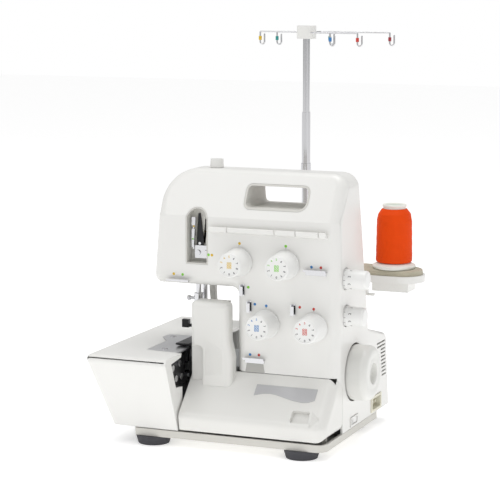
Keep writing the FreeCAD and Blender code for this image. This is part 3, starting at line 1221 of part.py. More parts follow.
# ---------------------------------------------------------------- build, check, write
def check():
    """Stop when any object failed or any sub-part is not a valid solid."""
    doc.recompute()
    for thing in doc.Objects:
        if "Invalid" in thing.State or "Error" in thing.State:
            raise RuntimeError(f"{thing.Name} failed: {thing.State}")
    for name, thing in NODES.items():
        shape = thing.Shape
        if shape.isNull() or not shape.isValid() or not shape.Solids:
            raise RuntimeError(f"{name} is not a valid solid")


def write():
    """Write each sub-part to its own file."""
    os.makedirs("parts", exist_ok=True)
    for name, thing in NODES.items():
        thing.Shape.exportStep(f"parts/{name}.step")
    print(len(NODES), "sub-parts written")


for stage in (build_base, build_shells, build_looper_cover, build_cloth_plate, build_tension_dials,
              build_guides, build_needle_side, build_stitch_parts, build_drive, build_side,
              build_thread_stand, build_fasteners):
    stage()
check()
write()
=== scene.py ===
"""Looks of a table-top overlock machine with its rear thread stand.

Sizes are in millimetres unless a name says otherwise, in the row frame:
+X to the handwheel side, +Y to the thread stand, +Z up, with the front facing -Y.
"""
import logging
import math
from dataclasses import dataclass, field
from enum import Enum
from typing import Callable, Iterable, Sequence

import bmesh
import bpy
import numpy as np
from mathutils import Euler, Matrix, Vector


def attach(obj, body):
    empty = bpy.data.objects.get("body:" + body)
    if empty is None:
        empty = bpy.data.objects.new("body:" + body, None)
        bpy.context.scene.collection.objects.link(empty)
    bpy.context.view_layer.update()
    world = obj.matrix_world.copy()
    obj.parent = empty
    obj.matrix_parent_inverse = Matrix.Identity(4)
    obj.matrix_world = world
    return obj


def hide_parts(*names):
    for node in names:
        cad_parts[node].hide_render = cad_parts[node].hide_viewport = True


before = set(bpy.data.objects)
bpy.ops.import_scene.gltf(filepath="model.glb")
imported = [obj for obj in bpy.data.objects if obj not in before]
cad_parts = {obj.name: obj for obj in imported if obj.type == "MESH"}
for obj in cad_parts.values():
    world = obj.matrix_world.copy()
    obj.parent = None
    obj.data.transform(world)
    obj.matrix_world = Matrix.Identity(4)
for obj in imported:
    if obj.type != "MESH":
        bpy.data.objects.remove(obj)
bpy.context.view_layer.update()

MM = 0.001
log = logging.getLogger("overlock")
Colour = tuple[float, float, float]
Nodes = bpy.types.Nodes
Link = Callable[[bpy.types.NodeSocket, bpy.types.NodeSocket], bpy.types.NodeLink]
Socket = bpy.types.NodeSocket


# ------------------------------------------------------------------ finishes
class Pattern(Enum):
    """How a finish breaks up its surface: (stretch along X, Y, Z)."""

    MOULDED = (1.0, 1.0, 1.0)
    BRUSHED_Z = (1.0, 1.0, 0.03)
    BRUSHED_Y = (1.0, 0.05, 1.0)
    CAST = (1.0, 1.0, 1.001)
    CELLS = (1.0, 1.0, 1.002)
    WOUND = (0.05, 0.05, 1.0)


@dataclass(frozen=True)
class Finish:
    """One finish: its colour, its gloss and the grain that breaks both up."""

    name: str
    colour: Colour
    roughness: float
    metallic: float = 0.0
    pattern: Pattern = Pattern.MOULDED
    mottling: float = 0.02
    grain_size_mm: float = 0.5
    bump: float = 0.05
    coat: float = 0.0
    sheen: float = 0.0
    specular: float = 0.5
    edge_mm: float = 0.0
    glow: float = 0.0

    def material(self) -> bpy.types.Material:
        """Node material of this finish, made once.

        Returns:
            The material, its patterns on Object coordinates.
        """
        known = bpy.data.materials.get(self.name)
        if known:
            return known
        made = bpy.data.materials.new(self.name)
        made.use_nodes = True
        nodes, link = made.node_tree.nodes, made.node_tree.links.new
        shader = nodes["Principled BSDF"]
        shader.inputs["Metallic"].default_value = self.metallic
        shader.inputs["Coat Weight"].default_value = self.coat
        shader.inputs["Coat Roughness"].default_value = 0.12
        shader.inputs["Sheen Weight"].default_value = self.sheen
        shader.inputs["Specular IOR Level"].default_value = self.specular
        shader.inputs["Emission Color"].default_value = (1.0, 1.0, 1.0, 1.0)
        shader.inputs["Emission Strength"].default_value = self.glow
        place = nodes.new("ShaderNodeTexCoord")
        stretch = nodes.new("ShaderNodeMapping")
        stretch.inputs["Scale"].default_value = self.pattern.value
        link(place.outputs["Object"], stretch.inputs["Vector"])
        broad = self._noise(nodes, link, place.outputs["Object"], 38.0, 2.0)
        fine = self._grain(nodes, link, stretch.outputs["Vector"])
        tone = nodes.new("ShaderNodeMix")
        tone.data_type = "RGBA"
        dark = [max(0.0, c * (1 - self.mottling)) for c in self.colour]
        light = [min(1.0, c * (1 + self.mottling)) for c in self.colour]
        tone.inputs[6].default_value = (*dark, 1.0)
        tone.inputs[7].default_value = (*light, 1.0)
        blend = nodes.new("ShaderNodeMath")
        blend.operation = "MULTIPLY_ADD"
        blend.inputs[1].default_value = 0.4
        link(fine, blend.inputs[0])
        weigh = nodes.new("ShaderNodeMath")
        weigh.operation = "MULTIPLY"
        weigh.inputs[1].default_value = 0.6
        link(broad, weigh.inputs[0])
        link(weigh.outputs[0], blend.inputs[2])
        link(blend.outputs[0], tone.inputs[0])
        link(tone.outputs[2], shader.inputs["Base Color"])
        gloss = nodes.new("ShaderNodeMapRange")
        gloss.inputs["To Min"].default_value = max(0.02, self.roughness - 0.07)
        gloss.inputs["To Max"].default_value = min(1.0, self.roughness + 0.07)
        link(blend.outputs[0], gloss.inputs["Value"])
        link(gloss.outputs[0], shader.inputs["Roughness"])
        relief = nodes.new("ShaderNodeBump")
        relief.inputs["Strength"].default_value = min(1.0, self.bump * 4)
        relief.inputs["Distance"].default_value = self.bump * MM
        link(fine, relief.inputs["Height"])
        if self.edge_mm:
            edge = nodes.new("ShaderNodeBevel")
            edge.samples = 6
            edge.inputs["Radius"].default_value = self.edge_mm * MM
            link(edge.outputs["Normal"], relief.inputs["Normal"])
        link(relief.outputs[0], shader.inputs["Normal"])
        return made

    def _noise(self, nodes: Nodes, link: Link, vector: Socket, scale: float, detail: float) -> Socket:
        """Noise factor socket.

        Args:
            nodes, link: the tree being built.
            vector: socket the noise reads.
            scale: features per metre.
            detail: octaves.

        Returns:
            The factor socket.
        """
        noise = nodes.new("ShaderNodeTexNoise")
        noise.inputs["Scale"].default_value = scale
        noise.inputs["Detail"].default_value = detail
        link(vector, noise.inputs["Vector"])
        return noise.outputs["Fac"]

    def _grain(self, nodes: Nodes, link: Link, vector: Socket) -> Socket:
        """Fine pattern: noise, open cells or wound turns, by the finish.

        Args:
            nodes, link: the tree being built.
            vector: socket the pattern reads.

        Returns:
            The pattern's value socket.
        """
        scale = 1000.0 / self.grain_size_mm
        if self.pattern is Pattern.CELLS:
            cells = nodes.new("ShaderNodeTexVoronoi")
            cells.inputs["Scale"].default_value = scale
            link(vector, cells.inputs["Vector"])
            return cells.outputs["Distance"]
        if self.pattern is Pattern.WOUND:
            turns = nodes.new("ShaderNodeTexWave")
            turns.bands_direction = "Z"
            turns.inputs["Scale"].default_value = scale / 20.0 * math.pi
            turns.inputs["Distortion"].default_value = 1.2
            turns.inputs["Detail"].default_value = 2.0
            link(vector, turns.inputs["Vector"])
            return turns.outputs["Fac"]
        return self._noise(nodes, link, vector, scale, 3.0)


SHELL = Finish("moulded_white", (0.83, 0.825, 0.80), 0.34, grain_size_mm=0.35, bump=0.012, coat=0.15,
               edge_mm=0.7)
COVER = Finish("moulded_white_lower", (0.80, 0.795, 0.765), 0.36, grain_size_mm=0.35, bump=0.012, coat=0.12,
               edge_mm=0.7)
LINER = Finish("moulded_inner", (0.66, 0.65, 0.61), 0.45, grain_size_mm=0.4, bump=0.02, edge_mm=0.4)
BASE = Finish("moulded_base", (0.66, 0.645, 0.60), 0.48, grain_size_mm=0.3, bump=0.03, edge_mm=0.7)
DIAL = Finish("dial_white", (0.84, 0.84, 0.825), 0.30, grain_size_mm=0.3, bump=0.008, coat=0.2)
WHEEL = Finish("wheel_white", (0.76, 0.76, 0.73), 0.36, grain_size_mm=0.3, bump=0.01, coat=0.1)
IVORY = Finish("ivory_plastic", (0.66, 0.60, 0.42), 0.5, grain_size_mm=0.4, bump=0.02, mottling=0.04)
CHROME = Finish("polished_chrome", (0.62, 0.62, 0.635), 0.14, 1.0, Pattern.BRUSHED_Z, 0.06, 0.25, 0.004)
STEEL = Finish("satin_steel", (0.50, 0.50, 0.51), 0.34, 1.0, Pattern.BRUSHED_Y, 0.08, 0.3, 0.01)
BLACKED = Finish("blacked_steel", (0.022, 0.022, 0.024), 0.33, 0.6, mottling=0.25, grain_size_mm=0.5,
                 bump=0.02)
CASTING = Finish("cast_alloy", (0.42, 0.43, 0.44), 0.5, 0.9, Pattern.CAST, 0.12, 0.8, 0.06)
BRONZE = Finish("sintered_bronze", (0.45, 0.30, 0.12), 0.45, 1.0, Pattern.CAST, 0.15, 0.4, 0.03)
MOTOR = Finish("motor_lacquer", (0.05, 0.055, 0.06), 0.4, 0.3, mottling=0.15, grain_size_mm=0.6, bump=0.02)
RUBBER = Finish("foot_rubber", (0.012, 0.012, 0.013), 0.6, mottling=0.3, grain_size_mm=0.4, bump=0.05)
BELT = Finish("belt_rubber", (0.02, 0.02, 0.02), 0.7, mottling=0.3, grain_size_mm=0.6, bump=0.08)
FOAM = Finish("foam_mat", (0.50, 0.465, 0.36), 0.95, 0.0, Pattern.CELLS, 0.22, 0.9, 0.25, sheen=0.3,
              specular=0.1)
THREAD = Finish("orange_thread", (0.84, 0.07, 0.001), 0.62, 0.0, Pattern.WOUND, 0.2, 0.35, 0.06,
                specular=0.15)
CONE = Finish("cone_plastic", (0.78, 0.78, 0.75), 0.45, grain_size_mm=0.5, bump=0.02)
CORE = Finish("cone_core_green", (0.45, 0.66, 0.52), 0.5, grain_size_mm=0.5, bump=0.02, mottling=0.05)
SILVER = Finish("silver_print", (0.50, 0.50, 0.51), 0.34, 0.55, Pattern.MOULDED, 0.05, 0.25, 0.01)
INK = Finish("dark_print", (0.05, 0.05, 0.055), 0.5, mottling=0.2, bump=0.01)
YELLOW = Finish("yellow_print", (0.72, 0.48, 0.03), 0.4, mottling=0.06, bump=0.01)
GREEN = Finish("green_print", (0.22, 0.62, 0.05), 0.4, mottling=0.06, bump=0.01)
BLUE = Finish("blue_print", (0.04, 0.21, 0.52), 0.4, mottling=0.06, bump=0.01)
RED = Finish("red_print", (0.60, 0.045, 0.03), 0.4, mottling=0.06, bump=0.01)
TEAL = Finish("teal_bead", (0.02, 0.30, 0.28), 0.25, mottling=0.06, bump=0.01, coat=0.3)
DARK_RED = Finish("dark_red_bead", (0.33, 0.02, 0.03), 0.25, mottling=0.06, bump=0.01, coat=0.3)
# painted shade: a darker grey standing in for the shade inside the shallow threading hollow, which is body
# plastic
RECESS_PAINTED_SHADE = Finish("recess_painted_shade", (0.46, 0.455, 0.43), 0.5, grain_size_mm=0.4, bump=0.02)
FLOOR = Finish("studio_paper", (0.93, 0.93, 0.93), 0.9, grain_size_mm=2.0, bump=0.01, specular=0.1, glow=0.45)


# ------------------------------------------------------------------ surfaces
def surface(name: str, grids: Sequence[np.ndarray], wrap: bool = True) -> bpy.types.Object:
    """Mesh of one or more grids: point (u, v) of a grid joins (u+1, v) and (u, v+1).

    Args:
        name: object name.
        grids: arrays of shape (rows, columns, 3), in millimetres.
        wrap: whether the last column joins the first.

    Returns:
        The object, at the origin, with doubles merged and faces outwards.
    """
    points, faces, start = [], [], 0
    for grid in grids:
        rows, columns, _ = grid.shape
        index = np.arange(rows * columns).reshape(rows, columns) + start
        right = np.roll(index, -1, axis=1)
        if not wrap:
            index, right = index[:, :-1], right[:, :-1]
        faces.append(np.stack([index[:-1], right[:-1], right[1:], index[1:]], axis=-1).reshape(-1, 4))
        points.append(grid.reshape(-1, 3))
        start += rows * columns
    mesh = bpy.data.meshes.new(name)
    mesh.from_pydata((np.vstack(points) * MM).tolist(), [], np.vstack(faces).tolist())
    made = bpy.data.objects.new(name, mesh)
    bpy.context.scene.collection.objects.link(made)
    return clean(made)


def clean(made: bpy.types.Object) -> bpy.types.Object:
    """Merge doubles, turn faces outwards and shade smoothly up to 32 degrees.

    Args:
        made: the object.

    Returns:
        The same object.
    """
    work = bmesh.new()
    work.from_mesh(made.data)
    bmesh.ops.remove_doubles(work, verts=work.verts, dist=2e-6)
    flat = [f for f in work.faces if f.calc_area() < 1e-14]
    bmesh.ops.delete(work, geom=flat, context="FACES_ONLY")
    bmesh.ops.recalc_face_normals(work, faces=work.faces)
    work.to_mesh(made.data)
    work.free()
    made.data.shade_smooth()
    made.data.set_sharp_from_angle(angle=math.radians(32.0))
    return made


def rounded(profile: Sequence[tuple[float, float]], radius: float, steps: int = 4) -> np.ndarray:
    """Profile with each inner corner replaced by a quadratic arc.

    Args:
        profile: corner points.
        radius: distance from a corner at which its arc starts, at most.
        steps: points on each arc, less one.

    Returns:
        Array of shape (points, 2): P = (1-t)^2 A + 2t(1-t) C + t^2 B round a corner C.
    """
    corners = np.array(profile, float)
    rows = [corners[:1]]
    t = np.linspace(0.0, 1.0, steps + 1)[:, None]
    for before, corner, after in zip(corners, corners[1:], corners[2:]):
        back, ahead = before - corner, after - corner
        reach = min(radius, 0.45 * np.linalg.norm(back), 0.45 * np.linalg.norm(ahead))
        a = corner + back / (np.linalg.norm(back) + 1e-9) * reach
        b = corner + ahead / (np.linalg.norm(ahead) + 1e-9) * reach
        rows.append((1 - t) ** 2 * a + 2 * t * (1 - t) * corner + t ** 2 * b)
    rows.append(corners[-1:])
    return np.vstack(rows)


AXES = {"X": ((1, 0, 0), (0, 1, 0), (0, 0, 1)), "Y": ((0, -1, 0), (1, 0, 0), (0, 0, 1)),
        "Z": ((0, 0, 1), (1, 0, 0), (0, 1, 0))}


def lathe(profile: np.ndarray, axis: str, centre: tuple[float, float, float], segments: int = 96,
          ripple: Callable[[np.ndarray, np.ndarray], np.ndarray] | None = None) -> np.ndarray:
    """Surface of revolution: P = centre + station * axis + radius * (cos a, sin a).

    Args:
        profile: (station, radius) rows; a radius of 0 closes the end. Y is turned to face -Y.
        axis: X, Y or Z.
        centre: point on the axis at station 0.
        segments: columns round the axis.
        ripple: optional change of radius as a function of (station, angle).

    Returns:
        Grid of points.
    """
    along, first, second = (np.array(v, float) for v in AXES[axis])
    angle = np.linspace(0.0, 2 * np.pi, segments, endpoint=False)[None, :]
    station, radius = profile[:, :1], profile[:, 1:2]
    reach = radius + (0.0 if ripple is None else ripple(station, angle) * (radius > 0.01))
    reach = np.broadcast_to(reach, (len(profile), segments))
    return (np.array(centre, float) + station[..., None] * along
            + (reach * np.cos(angle))[..., None] * first + (reach * np.sin(angle))[..., None] * second)


def dress(made: bpy.types.Object, finish: Finish) -> bpy.types.Object:
    """Give an object one finish and return it."""
    made.data.materials.clear()
    made.data.materials.append(finish.material())
    return made


@dataclass
class SubAssembly:
    """A group of pieces that ride on one body."""

    body: str = "machine"
    pieces: list[bpy.types.Object] = field(default_factory=list)

    def keep(self, made: bpy.types.Object, finish: Finish, slot: str, *nodes: str,
             body: str | None = None) -> bpy.types.Object:
        """Dress a piece, put it on its body and hide the CAD nodes it replaces.

        Args:
            made: the piece.
            finish: its finish.
            slot: the record's material slot; not used.
            nodes: CAD nodes it replaces.
            body: body it rides on, if not the sub-assembly's own.

        Returns:
            The piece.
        """
        dress(made, finish)
        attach(made, body or self.body)
        if nodes:
            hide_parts(*nodes)
        self.pieces.append(made)
        log.info("%s: %d faces", made.name, len(made.data.polygons))
        return made


# ------------------------------------------------------------------ print and text
def print_marks(name: str, marks: Iterable[tuple[str, Matrix]], size_mm: float) -> bpy.types.Object:
    """Raised figures, as one mesh.

    Args:
        name: object name.
        marks: (text, place) pairs, the place in millimetres.
        size_mm: figure height.

    Returns:
        The object.
    """
    work = bmesh.new()
    for text, place in marks:
        curve = bpy.data.curves.new("figure", "FONT")
        curve.body, curve.size, curve.extrude, curve.offset = text, size_mm * 1.35, 0.06, 0.05
        curve.align_x = curve.align_y = "CENTER"
        curve.resolution_u = 3
        figure = bpy.data.objects.new("figure", curve)
        bpy.context.scene.collection.objects.link(figure)
        mesh = bpy.data.meshes.new_from_object(figure.evaluated_get(bpy.context.evaluated_depsgraph_get()))
        mesh.transform(Matrix.Diagonal((MM, MM, MM, 1.0)) @ place)
        work.from_mesh(mesh)
        bpy.data.objects.remove(figure)
        bpy.data.meshes.remove(mesh)
    final = bpy.data.meshes.new(name)
    work.to_mesh(final)
    work.free()
    made = bpy.data.objects.new(name, final)
    bpy.context.scene.collection.objects.link(made)
    return clean(made)


FACING_FRONT = Matrix.Rotation(math.radians(90), 4, "X")


def button(x: float, y: float, z: float, radius: float = 1.55, height: float = 0.45) -> np.ndarray:
    """Small domed dot on the front: height * (1 - (r / radius)^2) over a round base."""
    share = np.linspace(0.0, 1.0, 6)
    profile = np.column_stack([height * (1 - share ** 2), radius * share])
    profile = np.vstack([profile, [(-0.3, radius), (-0.3, 0.0)]])
    return lathe(profile, "Y", (x, y, z), 24)


def bar(start: Sequence[float], end: Sequence[float], half_width: float, lift: Sequence[float]) -> np.ndarray:
    """Thin ridge: a half-round section carried from start to end.

    Args:
        start, end: ends of the ridge.
        half_width: half its width, and its height.
        lift: unit direction it stands out.

    Returns:
        Grid of points.
    """
    a, b, up = (np.array(v, float) for v in (start, end, lift))
    run = (b - a) / np.linalg.norm(b - a)
    side = np.cross(run, up)
    angle = np.linspace(0, 2 * np.pi, 12, endpoint=False)
    ring = half_width * (np.cos(angle)[:, None] * side + 0.8 * np.sin(angle)[:, None] * up)
    stations = np.array([0.0, 0.0, 0.03, 0.97, 1.0, 1.0])[:, None, None]
    scale = np.array([0.0, 0.6, 1.0, 1.0, 0.6, 0.0])[:, None, None]
    return a + stations * (b - a) + scale * ring


# ------------------------------------------------------------------ covers
@dataclass
class Covers(SubAssembly):
    """Moulded covers of column, arm and base."""

    front_y: float = -53.0

    def build(self) -> None:
        """Dots, index lines and the threading hollow."""
        self.dots()
        for name, finish, x, z in (("orange", YELLOW, -61.4, 236.0), ("green", GREEN, -62.3, 222.0)):
            dot = surface(f"lever_dot_{name}", [button(x, -46.5, z, 1.0, 0.3)])
            self.keep(dot, finish, "bead_plastic")
        self.ticks()
        self.recess()

    def dots(self) -> None:
        """Coloured threading dots beside the guides and above the dials."""
        y = self.front_y
        places = {
            "yellow": (YELLOW, [(-4.9, 221.0), (-82.5, 183.4), (-37.2, 206.5)]),
            "green": (GREEN, [(48.3, 221.0), (5.3, 174.1), (-72.0, 183.2), (-41.1, 206.6)]),
            "blue": (BLUE, [(26.1, 155.2), (12.9, 156.1), (77.6, 200.3), (7.4, 100.6)]),
            "red": (RED, [(80.3, 155.3), (64.5, 156.3), (88.2, 200.3), (17.7, 100.8)]),
        }
        for name, (finish, spots) in places.items():
            made = surface(f"thread_dots_{name}", [button(x, y, z) for x, z in spots])
            self.keep(made, finish, "bead_plastic")

    def ticks(self) -> None:
        """Short index line under each dot above a dial."""
        y = self.front_y
        grids = [bar((x, y, z + 17.0), (x, y, z + 18.4), 0.22, (0, -1, 0))
                 for x, z in ((-5.5, 201.0), (48.5, 201.0), (26.0, 135.5), (80.5, 135.5))]
        self.keep(surface("index_lines", grids), INK, "grip_grey")

    def recess(self) -> None:
        """Threading hollow under the lower guide: a shallow bowl seen as its rim and floor, coloured a
        painted shade.
        """
        y = self.front_y - 0.12
        u = np.linspace(0.0, 1.0, 9)[:, None]
        v = np.linspace(-1.0, 1.0, 17)[None, :]
        half = 11.2 - 2.0 * (1 - u)
        x = 13.2 + v * half + 0 * u
        z = 93.6 - 12.0 * u + 0 * v
        depth = 0.35 * (1 - np.abs(v) ** 6) * (1 - np.abs(2 * u - 1) ** 6)
        outer = np.stack([x, y - depth, z], axis=-1)
        inner = np.stack([x, np.full_like(x, y + 0.25), z], axis=-1)
        rim = np.vstack([inner[:1], outer, inner[::-1]])
        # the bowl is coloured with painted shade, not with the body plastic's own colour
        self.keep(surface("thread_recess", [rim], wrap=False), RECESS_PAINTED_SHADE, "body_plastic")


# ------------------------------------------------------------------ dials
@dataclass
class TensionDial(SubAssembly):
    """One front tension dial with its number ring."""

    node: str = ""
    x: float = 0.0
    z: float = 0.0
    colour: Finish = YELLOW
    front_y: float = -53.0

    def build(self) -> None:
        """Turned cap, number ring and centre mark."""
        cap = rounded([(0.4, 0.0), (0.4, 15.8), (3.2, 15.8), (3.5, 15.1), (4.0, 15.1), (4.3, 14.9),
                       (24.6, 13.7), (27.0, 13.3), (28.0, 12.3), (27.95, 11.6), (27.45, 11.3),
                       (27.45, 0.0)], 0.7)
        made = surface(f"{self.node}_cap", [lathe(cap, "Y", (self.x, self.front_y, self.z), 112)])
        self.keep(made, DIAL, "dial_plastic", self.node)
        face = self.front_y - 27.45
        turns = {True: [], False: []}
        for i in range(10):
            angle = math.radians(90 - 36 * (i - 5))
            spot = (self.x + 9.3 * math.cos(angle), face, self.z + 9.3 * math.sin(angle))
            place = Matrix.Translation(spot) @ FACING_FRONT @ Matrix.Rotation(angle - math.pi / 2, 4, "Z")
            turns[i in (3, 4, 5)].append((str(i), place))
        self.keep(print_marks(f"{self.node}_figures", turns[False], 2.5), INK, "grip_grey")
        self.keep(print_marks(f"{self.node}_middle_figures", turns[True], 2.5), self.colour, "bead_plastic")
        angle = np.linspace(0, 2 * np.pi, 20, endpoint=False)[None, :]
        ring = np.array([(1.25, 0.0), (1.05, -0.09), (0.72, -0.09), (0.62, 0.0)])
        loops = []
        for column in (-1.4, 1.4):
            for row in (-2.6, -0.9, 0.9, 2.6):
                r, d = ring[:, :1], ring[:, 1:2]
                loops.append(np.stack([self.x + column + r * np.cos(angle) * 1.05,
                                       face + d + 0 * angle,
                                       self.z + row + r * np.sin(angle) * 0.8], axis=-1))
        self.keep(surface(f"{self.node}_centre_mark", loops), self.colour, "bead_plastic")


@dataclass
class SideDial(SubAssembly):
    """Dial on the handwheel side, with index marks round its rim."""

    node: str = ""
    y: float = 0.0
    z: float = 0.0
    reach: float = 25.0
    side_x: float = 108.0

    def build(self) -> None:
        """Turned knob with a rim of marks."""
        knob = rounded([(-6.0, 0.0), (-6.0, 11.3), (3.0, 11.3), (3.6, 10.6), (self.reach - 1.4, 9.9),
                        (self.reach, 8.6), (self.reach - 0.1, 0.0)], 1.0)
        shaft = rounded([(-20.0, 0.0), (-20.0, 3.0), (-6.0, 3.0), (-6.0, 0.0)], 0.3)
        grids = [lathe(knob, "X", (self.side_x, self.y, self.z), 96),
                 lathe(shaft, "X", (self.side_x, self.y, self.z), 96)]
        self.keep(surface(f"{self.node}_knob", grids), DIAL, "dial_plastic", self.node)
        marks = []
        for i in range(12):
            angle = 2 * math.pi * i / 12
            out = np.array([0.0, math.cos(angle), math.sin(angle)])
            base = np.array([self.side_x, self.y, self.z]) + out * 11.2
            marks.append(bar(base + (0.6, 0, 0), base + (2.2 if i % 3 else 2.9, 0, 0), 0.22, out))
        self.keep(surface(f"{self.node}_marks", marks), INK, "grip_grey")
        figures = []
        for i, text in enumerate("1234"):
            angle = math.pi * (0.62 + 0.25 * i)
            out = Vector((0.0, math.cos(angle), math.sin(angle)))
            spot = Vector((self.side_x + 7.0, self.y, self.z)) + out * 10.5
            across = Vector((1.0, 0.0, 0.0)).cross(out) * -1
            turn = Matrix((across, out.cross(across), out)).transposed().to_4x4()
            figures.append((text, Matrix.Translation(spot) @ turn))
        self.keep(print_marks(f"{self.node}_figures", figures, 3.0), INK, "grip_grey")


@dataclass
class Handwheel(SubAssembly):
    """Handwheel with its rounded rim and hollow face."""

    body: str = "drive"
    y: float = 1.0
    z: float = 79.0
    side_x: float = 108.0

    def build(self) -> None:
        """Turned wheel: rim, dished face and finger hollow."""
        outline = rounded([(-7.0, 0.0), (-7.0, 11.0), (-2.0, 29.5), (1.0, 30.5), (16.0, 30.3), (19.5, 29.0),
                           (21.9, 26.0), (22.4, 22.0), (21.6, 17.0), (22.2, 12.6), (21.7, 11.5), (15.5, 10.4),
                           (14.5, 0.0)], 2.4, 6)
        made = surface("handwheel_rim", [lathe(outline, "X", (self.side_x, self.y, self.z), 144)])
        self.keep(made, WHEEL, "dial_plastic", "handwheel")


# ------------------------------------------------------------------ thread stand
@dataclass
class ThreadStand(SubAssembly):
    """Foam, cone of thread and beads of the thread stand."""

    pole_x: float = 14.5
    line_y: float = 97.0
    half: float = 139.0
    width: float = 45.0

    def build(self) -> None:
        """Foam, cone and beads."""
        self.foam()
        self.cone()
        self.beads()

    def foam(self) -> None:
        """Foam mat: rings of a stadium drawn in by d, its top edge rounded, slightly uneven."""
        radius = self.width / 2
        draw_in = np.array([9.0, 1.2, 0.2, 0.0, 0.0, 0.4, 1.4, 3.2, 7.0, 12.0, 17.0, radius - 0.01])
        height = np.array([168.6, 168.6, 169.2, 171.0, 177.4, 178.9, 179.6, 179.9,
                           180.0, 180.0, 180.0, 180.0])
        run = np.linspace(-1.0, 1.0, 90)
        arc = np.linspace(-np.pi / 2, np.pi / 2, 30)
        straight = (self.half - radius) * run
        core_x = np.concatenate([straight, np.full(30, self.half - radius), -straight,
                                 np.full(30, radius - self.half)])
        out_x = np.concatenate([np.zeros(90), np.cos(arc), np.zeros(90), -np.cos(arc)])
        out_y = np.concatenate([-np.ones(90), np.sin(arc), np.ones(90), -np.sin(arc)])
        reach = (radius - draw_in)[:, None]
        x = self.pole_x + core_x + reach * out_x
        y = self.line_y + reach * out_y
        uneven = 0.12 * np.sin(x * 0.9) * np.cos(y * 1.1) + 0.08 * np.sin(x * 2.3 + y * 1.7)
        z = height[:, None] + uneven * (height[:, None] > 175)
        base = np.stack([x[:1], y[:1], z[:1]], axis=-1)
        closing = base.copy()
        closing[..., 1] = self.line_y
        made = surface("foam_pad", [np.vstack([closing, np.stack([x, y, z], axis=-1)])])
        self.keep(made, FOAM, "foam", "foam_mat")

    def cone(self) -> None:
        """Cone with its flared foot and top lip, and the thread wound on it in slanting turns."""
        x, y = self.pole_x + 106.05, self.line_y
        core = rounded([(180.3, 5.0), (180.3, 23.0), (182.0, 24.2), (184.0, 24.2), (186.4, 19.0),
                        (187.0, 15.0), (249.0, 12.5), (250.0, 13.5), (252.0, 13.5), (252.5, 12.5),
                        (251.6, 10.6), (249.5, 10.0), (249.5, 5.0), (180.3, 5.0)], 0.5)
        made = surface("cone_core", [lathe(core, "Z", (x, y, 0.0), 96)])
        self.keep(made, CONE, "cone_plastic", "cone_spool", body="thread_cone")
        disc = rounded([(249.7, 5.2), (249.9, 5.4), (249.9, 9.7), (249.7, 9.9), (249.7, 5.2)], 0.1, 2)
        made = surface("cone_disc", [lathe(disc, "Z", (x, y, 0.0), 64)])
        self.keep(made, CORE, "cone_plastic", body="thread_cone")
        corners = rounded([(187.2, 15.3), (187.2, 19.2), (189.0, 20.4), (234.0, 19.6), (241.5, 18.2),
                           (247.0, 14.2), (247.4, 12.9)], 1.5, 5)
        length = np.concatenate([[0.0], np.cumsum(np.linalg.norm(np.diff(corners, axis=0), axis=1))])
        fine = np.linspace(0.0, length[-1], 300)
        profile = np.column_stack([np.interp(fine, length, corners[:, i]) for i in (0, 1)])
        profile = np.vstack([profile, profile[:1]])

        def turns(station: np.ndarray, angle: np.ndarray) -> np.ndarray:
            """Two crossing sets of slanting turns, and a slow unevenness."""
            return (0.07 * np.sin(station * 7.2 + 2 * angle) + 0.05 * np.sin(station * 5.1 - 3 * angle)
                    + 0.10 * np.sin(station * 0.55 + angle))
        made = surface("thread_winding", [lathe(profile, "Z", (x, y, 0.0), 160, turns)])
        self.keep(made, THREAD, "thread", "wound_thread", body="thread_cone")

    def beads(self) -> None:
        """Coloured beads on the drop hooks: rounded sleeves."""
        outline = rounded([(432.25, 1.0), (432.25, 1.75), (436.75, 1.75), (436.75, 1.0), (432.25, 1.0)],
                          0.6, 4)
        spots = {"yellow": (YELLOW, [(-56.0, 0.0)]), "teal": (TEAL, [(-35.5, 0.0), (22.0, 16.0)]),
                 "blue": (BLUE, [(34.0, -16.0)]), "red": (RED, [(66.0, -16.0)]),
                 "dark_red": (DARK_RED, [(93.0, 16.0)])}
        for name, (finish, places) in spots.items():
            grids = [lathe(outline, "Z", (self.pole_x + dx, self.line_y + dy, 0.0), 24) for dx, dy in places]
            made = surface(f"hook_beads_{name}", grids)
            self.keep(made, finish, "bead_plastic", *(["guide_beads"] if name == "yellow" else []),
                      body="guide_head")


# ------------------------------------------------------------------ looper cover trim
@dataclass
class CoverTrim(SubAssembly):
    """Ribs beside the finger recess, on the sloped cover, and on the finger guard."""

    body: str = "front_lower_cover"
    top_y: float = -53.3
    top_z: float = 81.0
    guard_y: float = -68.5

    def on_slope(self, x: float, down: float) -> tuple[float, float, float]:
        """Point on the 45 degree slope, a distance down from its top edge."""
        step = down / math.sqrt(2)
        return (x, self.top_y - step, self.top_z - step)

    def build(self) -> None:
        """Seven fine ribs that shorten towards a point, and upright ribs on the guard."""
        out = (0.0, -math.sqrt(0.5), math.sqrt(0.5))
        grids = []
        for i in range(7):
            share = i / 7
            x = 91.4 + 1.35 * i
            high, low = 43.0 + 7.2 * share, 62.2 - 11.4 * share
            grids.append(bar(self.on_slope(x, high), self.on_slope(x, low), 0.32, out))
        self.keep(surface("slope_ribs", grids), COVER, "body_plastic")
        y = self.guard_y + 0.05
        ribs = [bar((x, y, 77.0 + 0.25 * i), (x, y, 117.0 - 0.9 * i), 0.24, (0, -1, 0))
                for i, x in enumerate(np.arange(-38.5, -19.0, 1.7))]
        self.keep(surface("guard_ribs", ribs), COVER, "body_plastic")


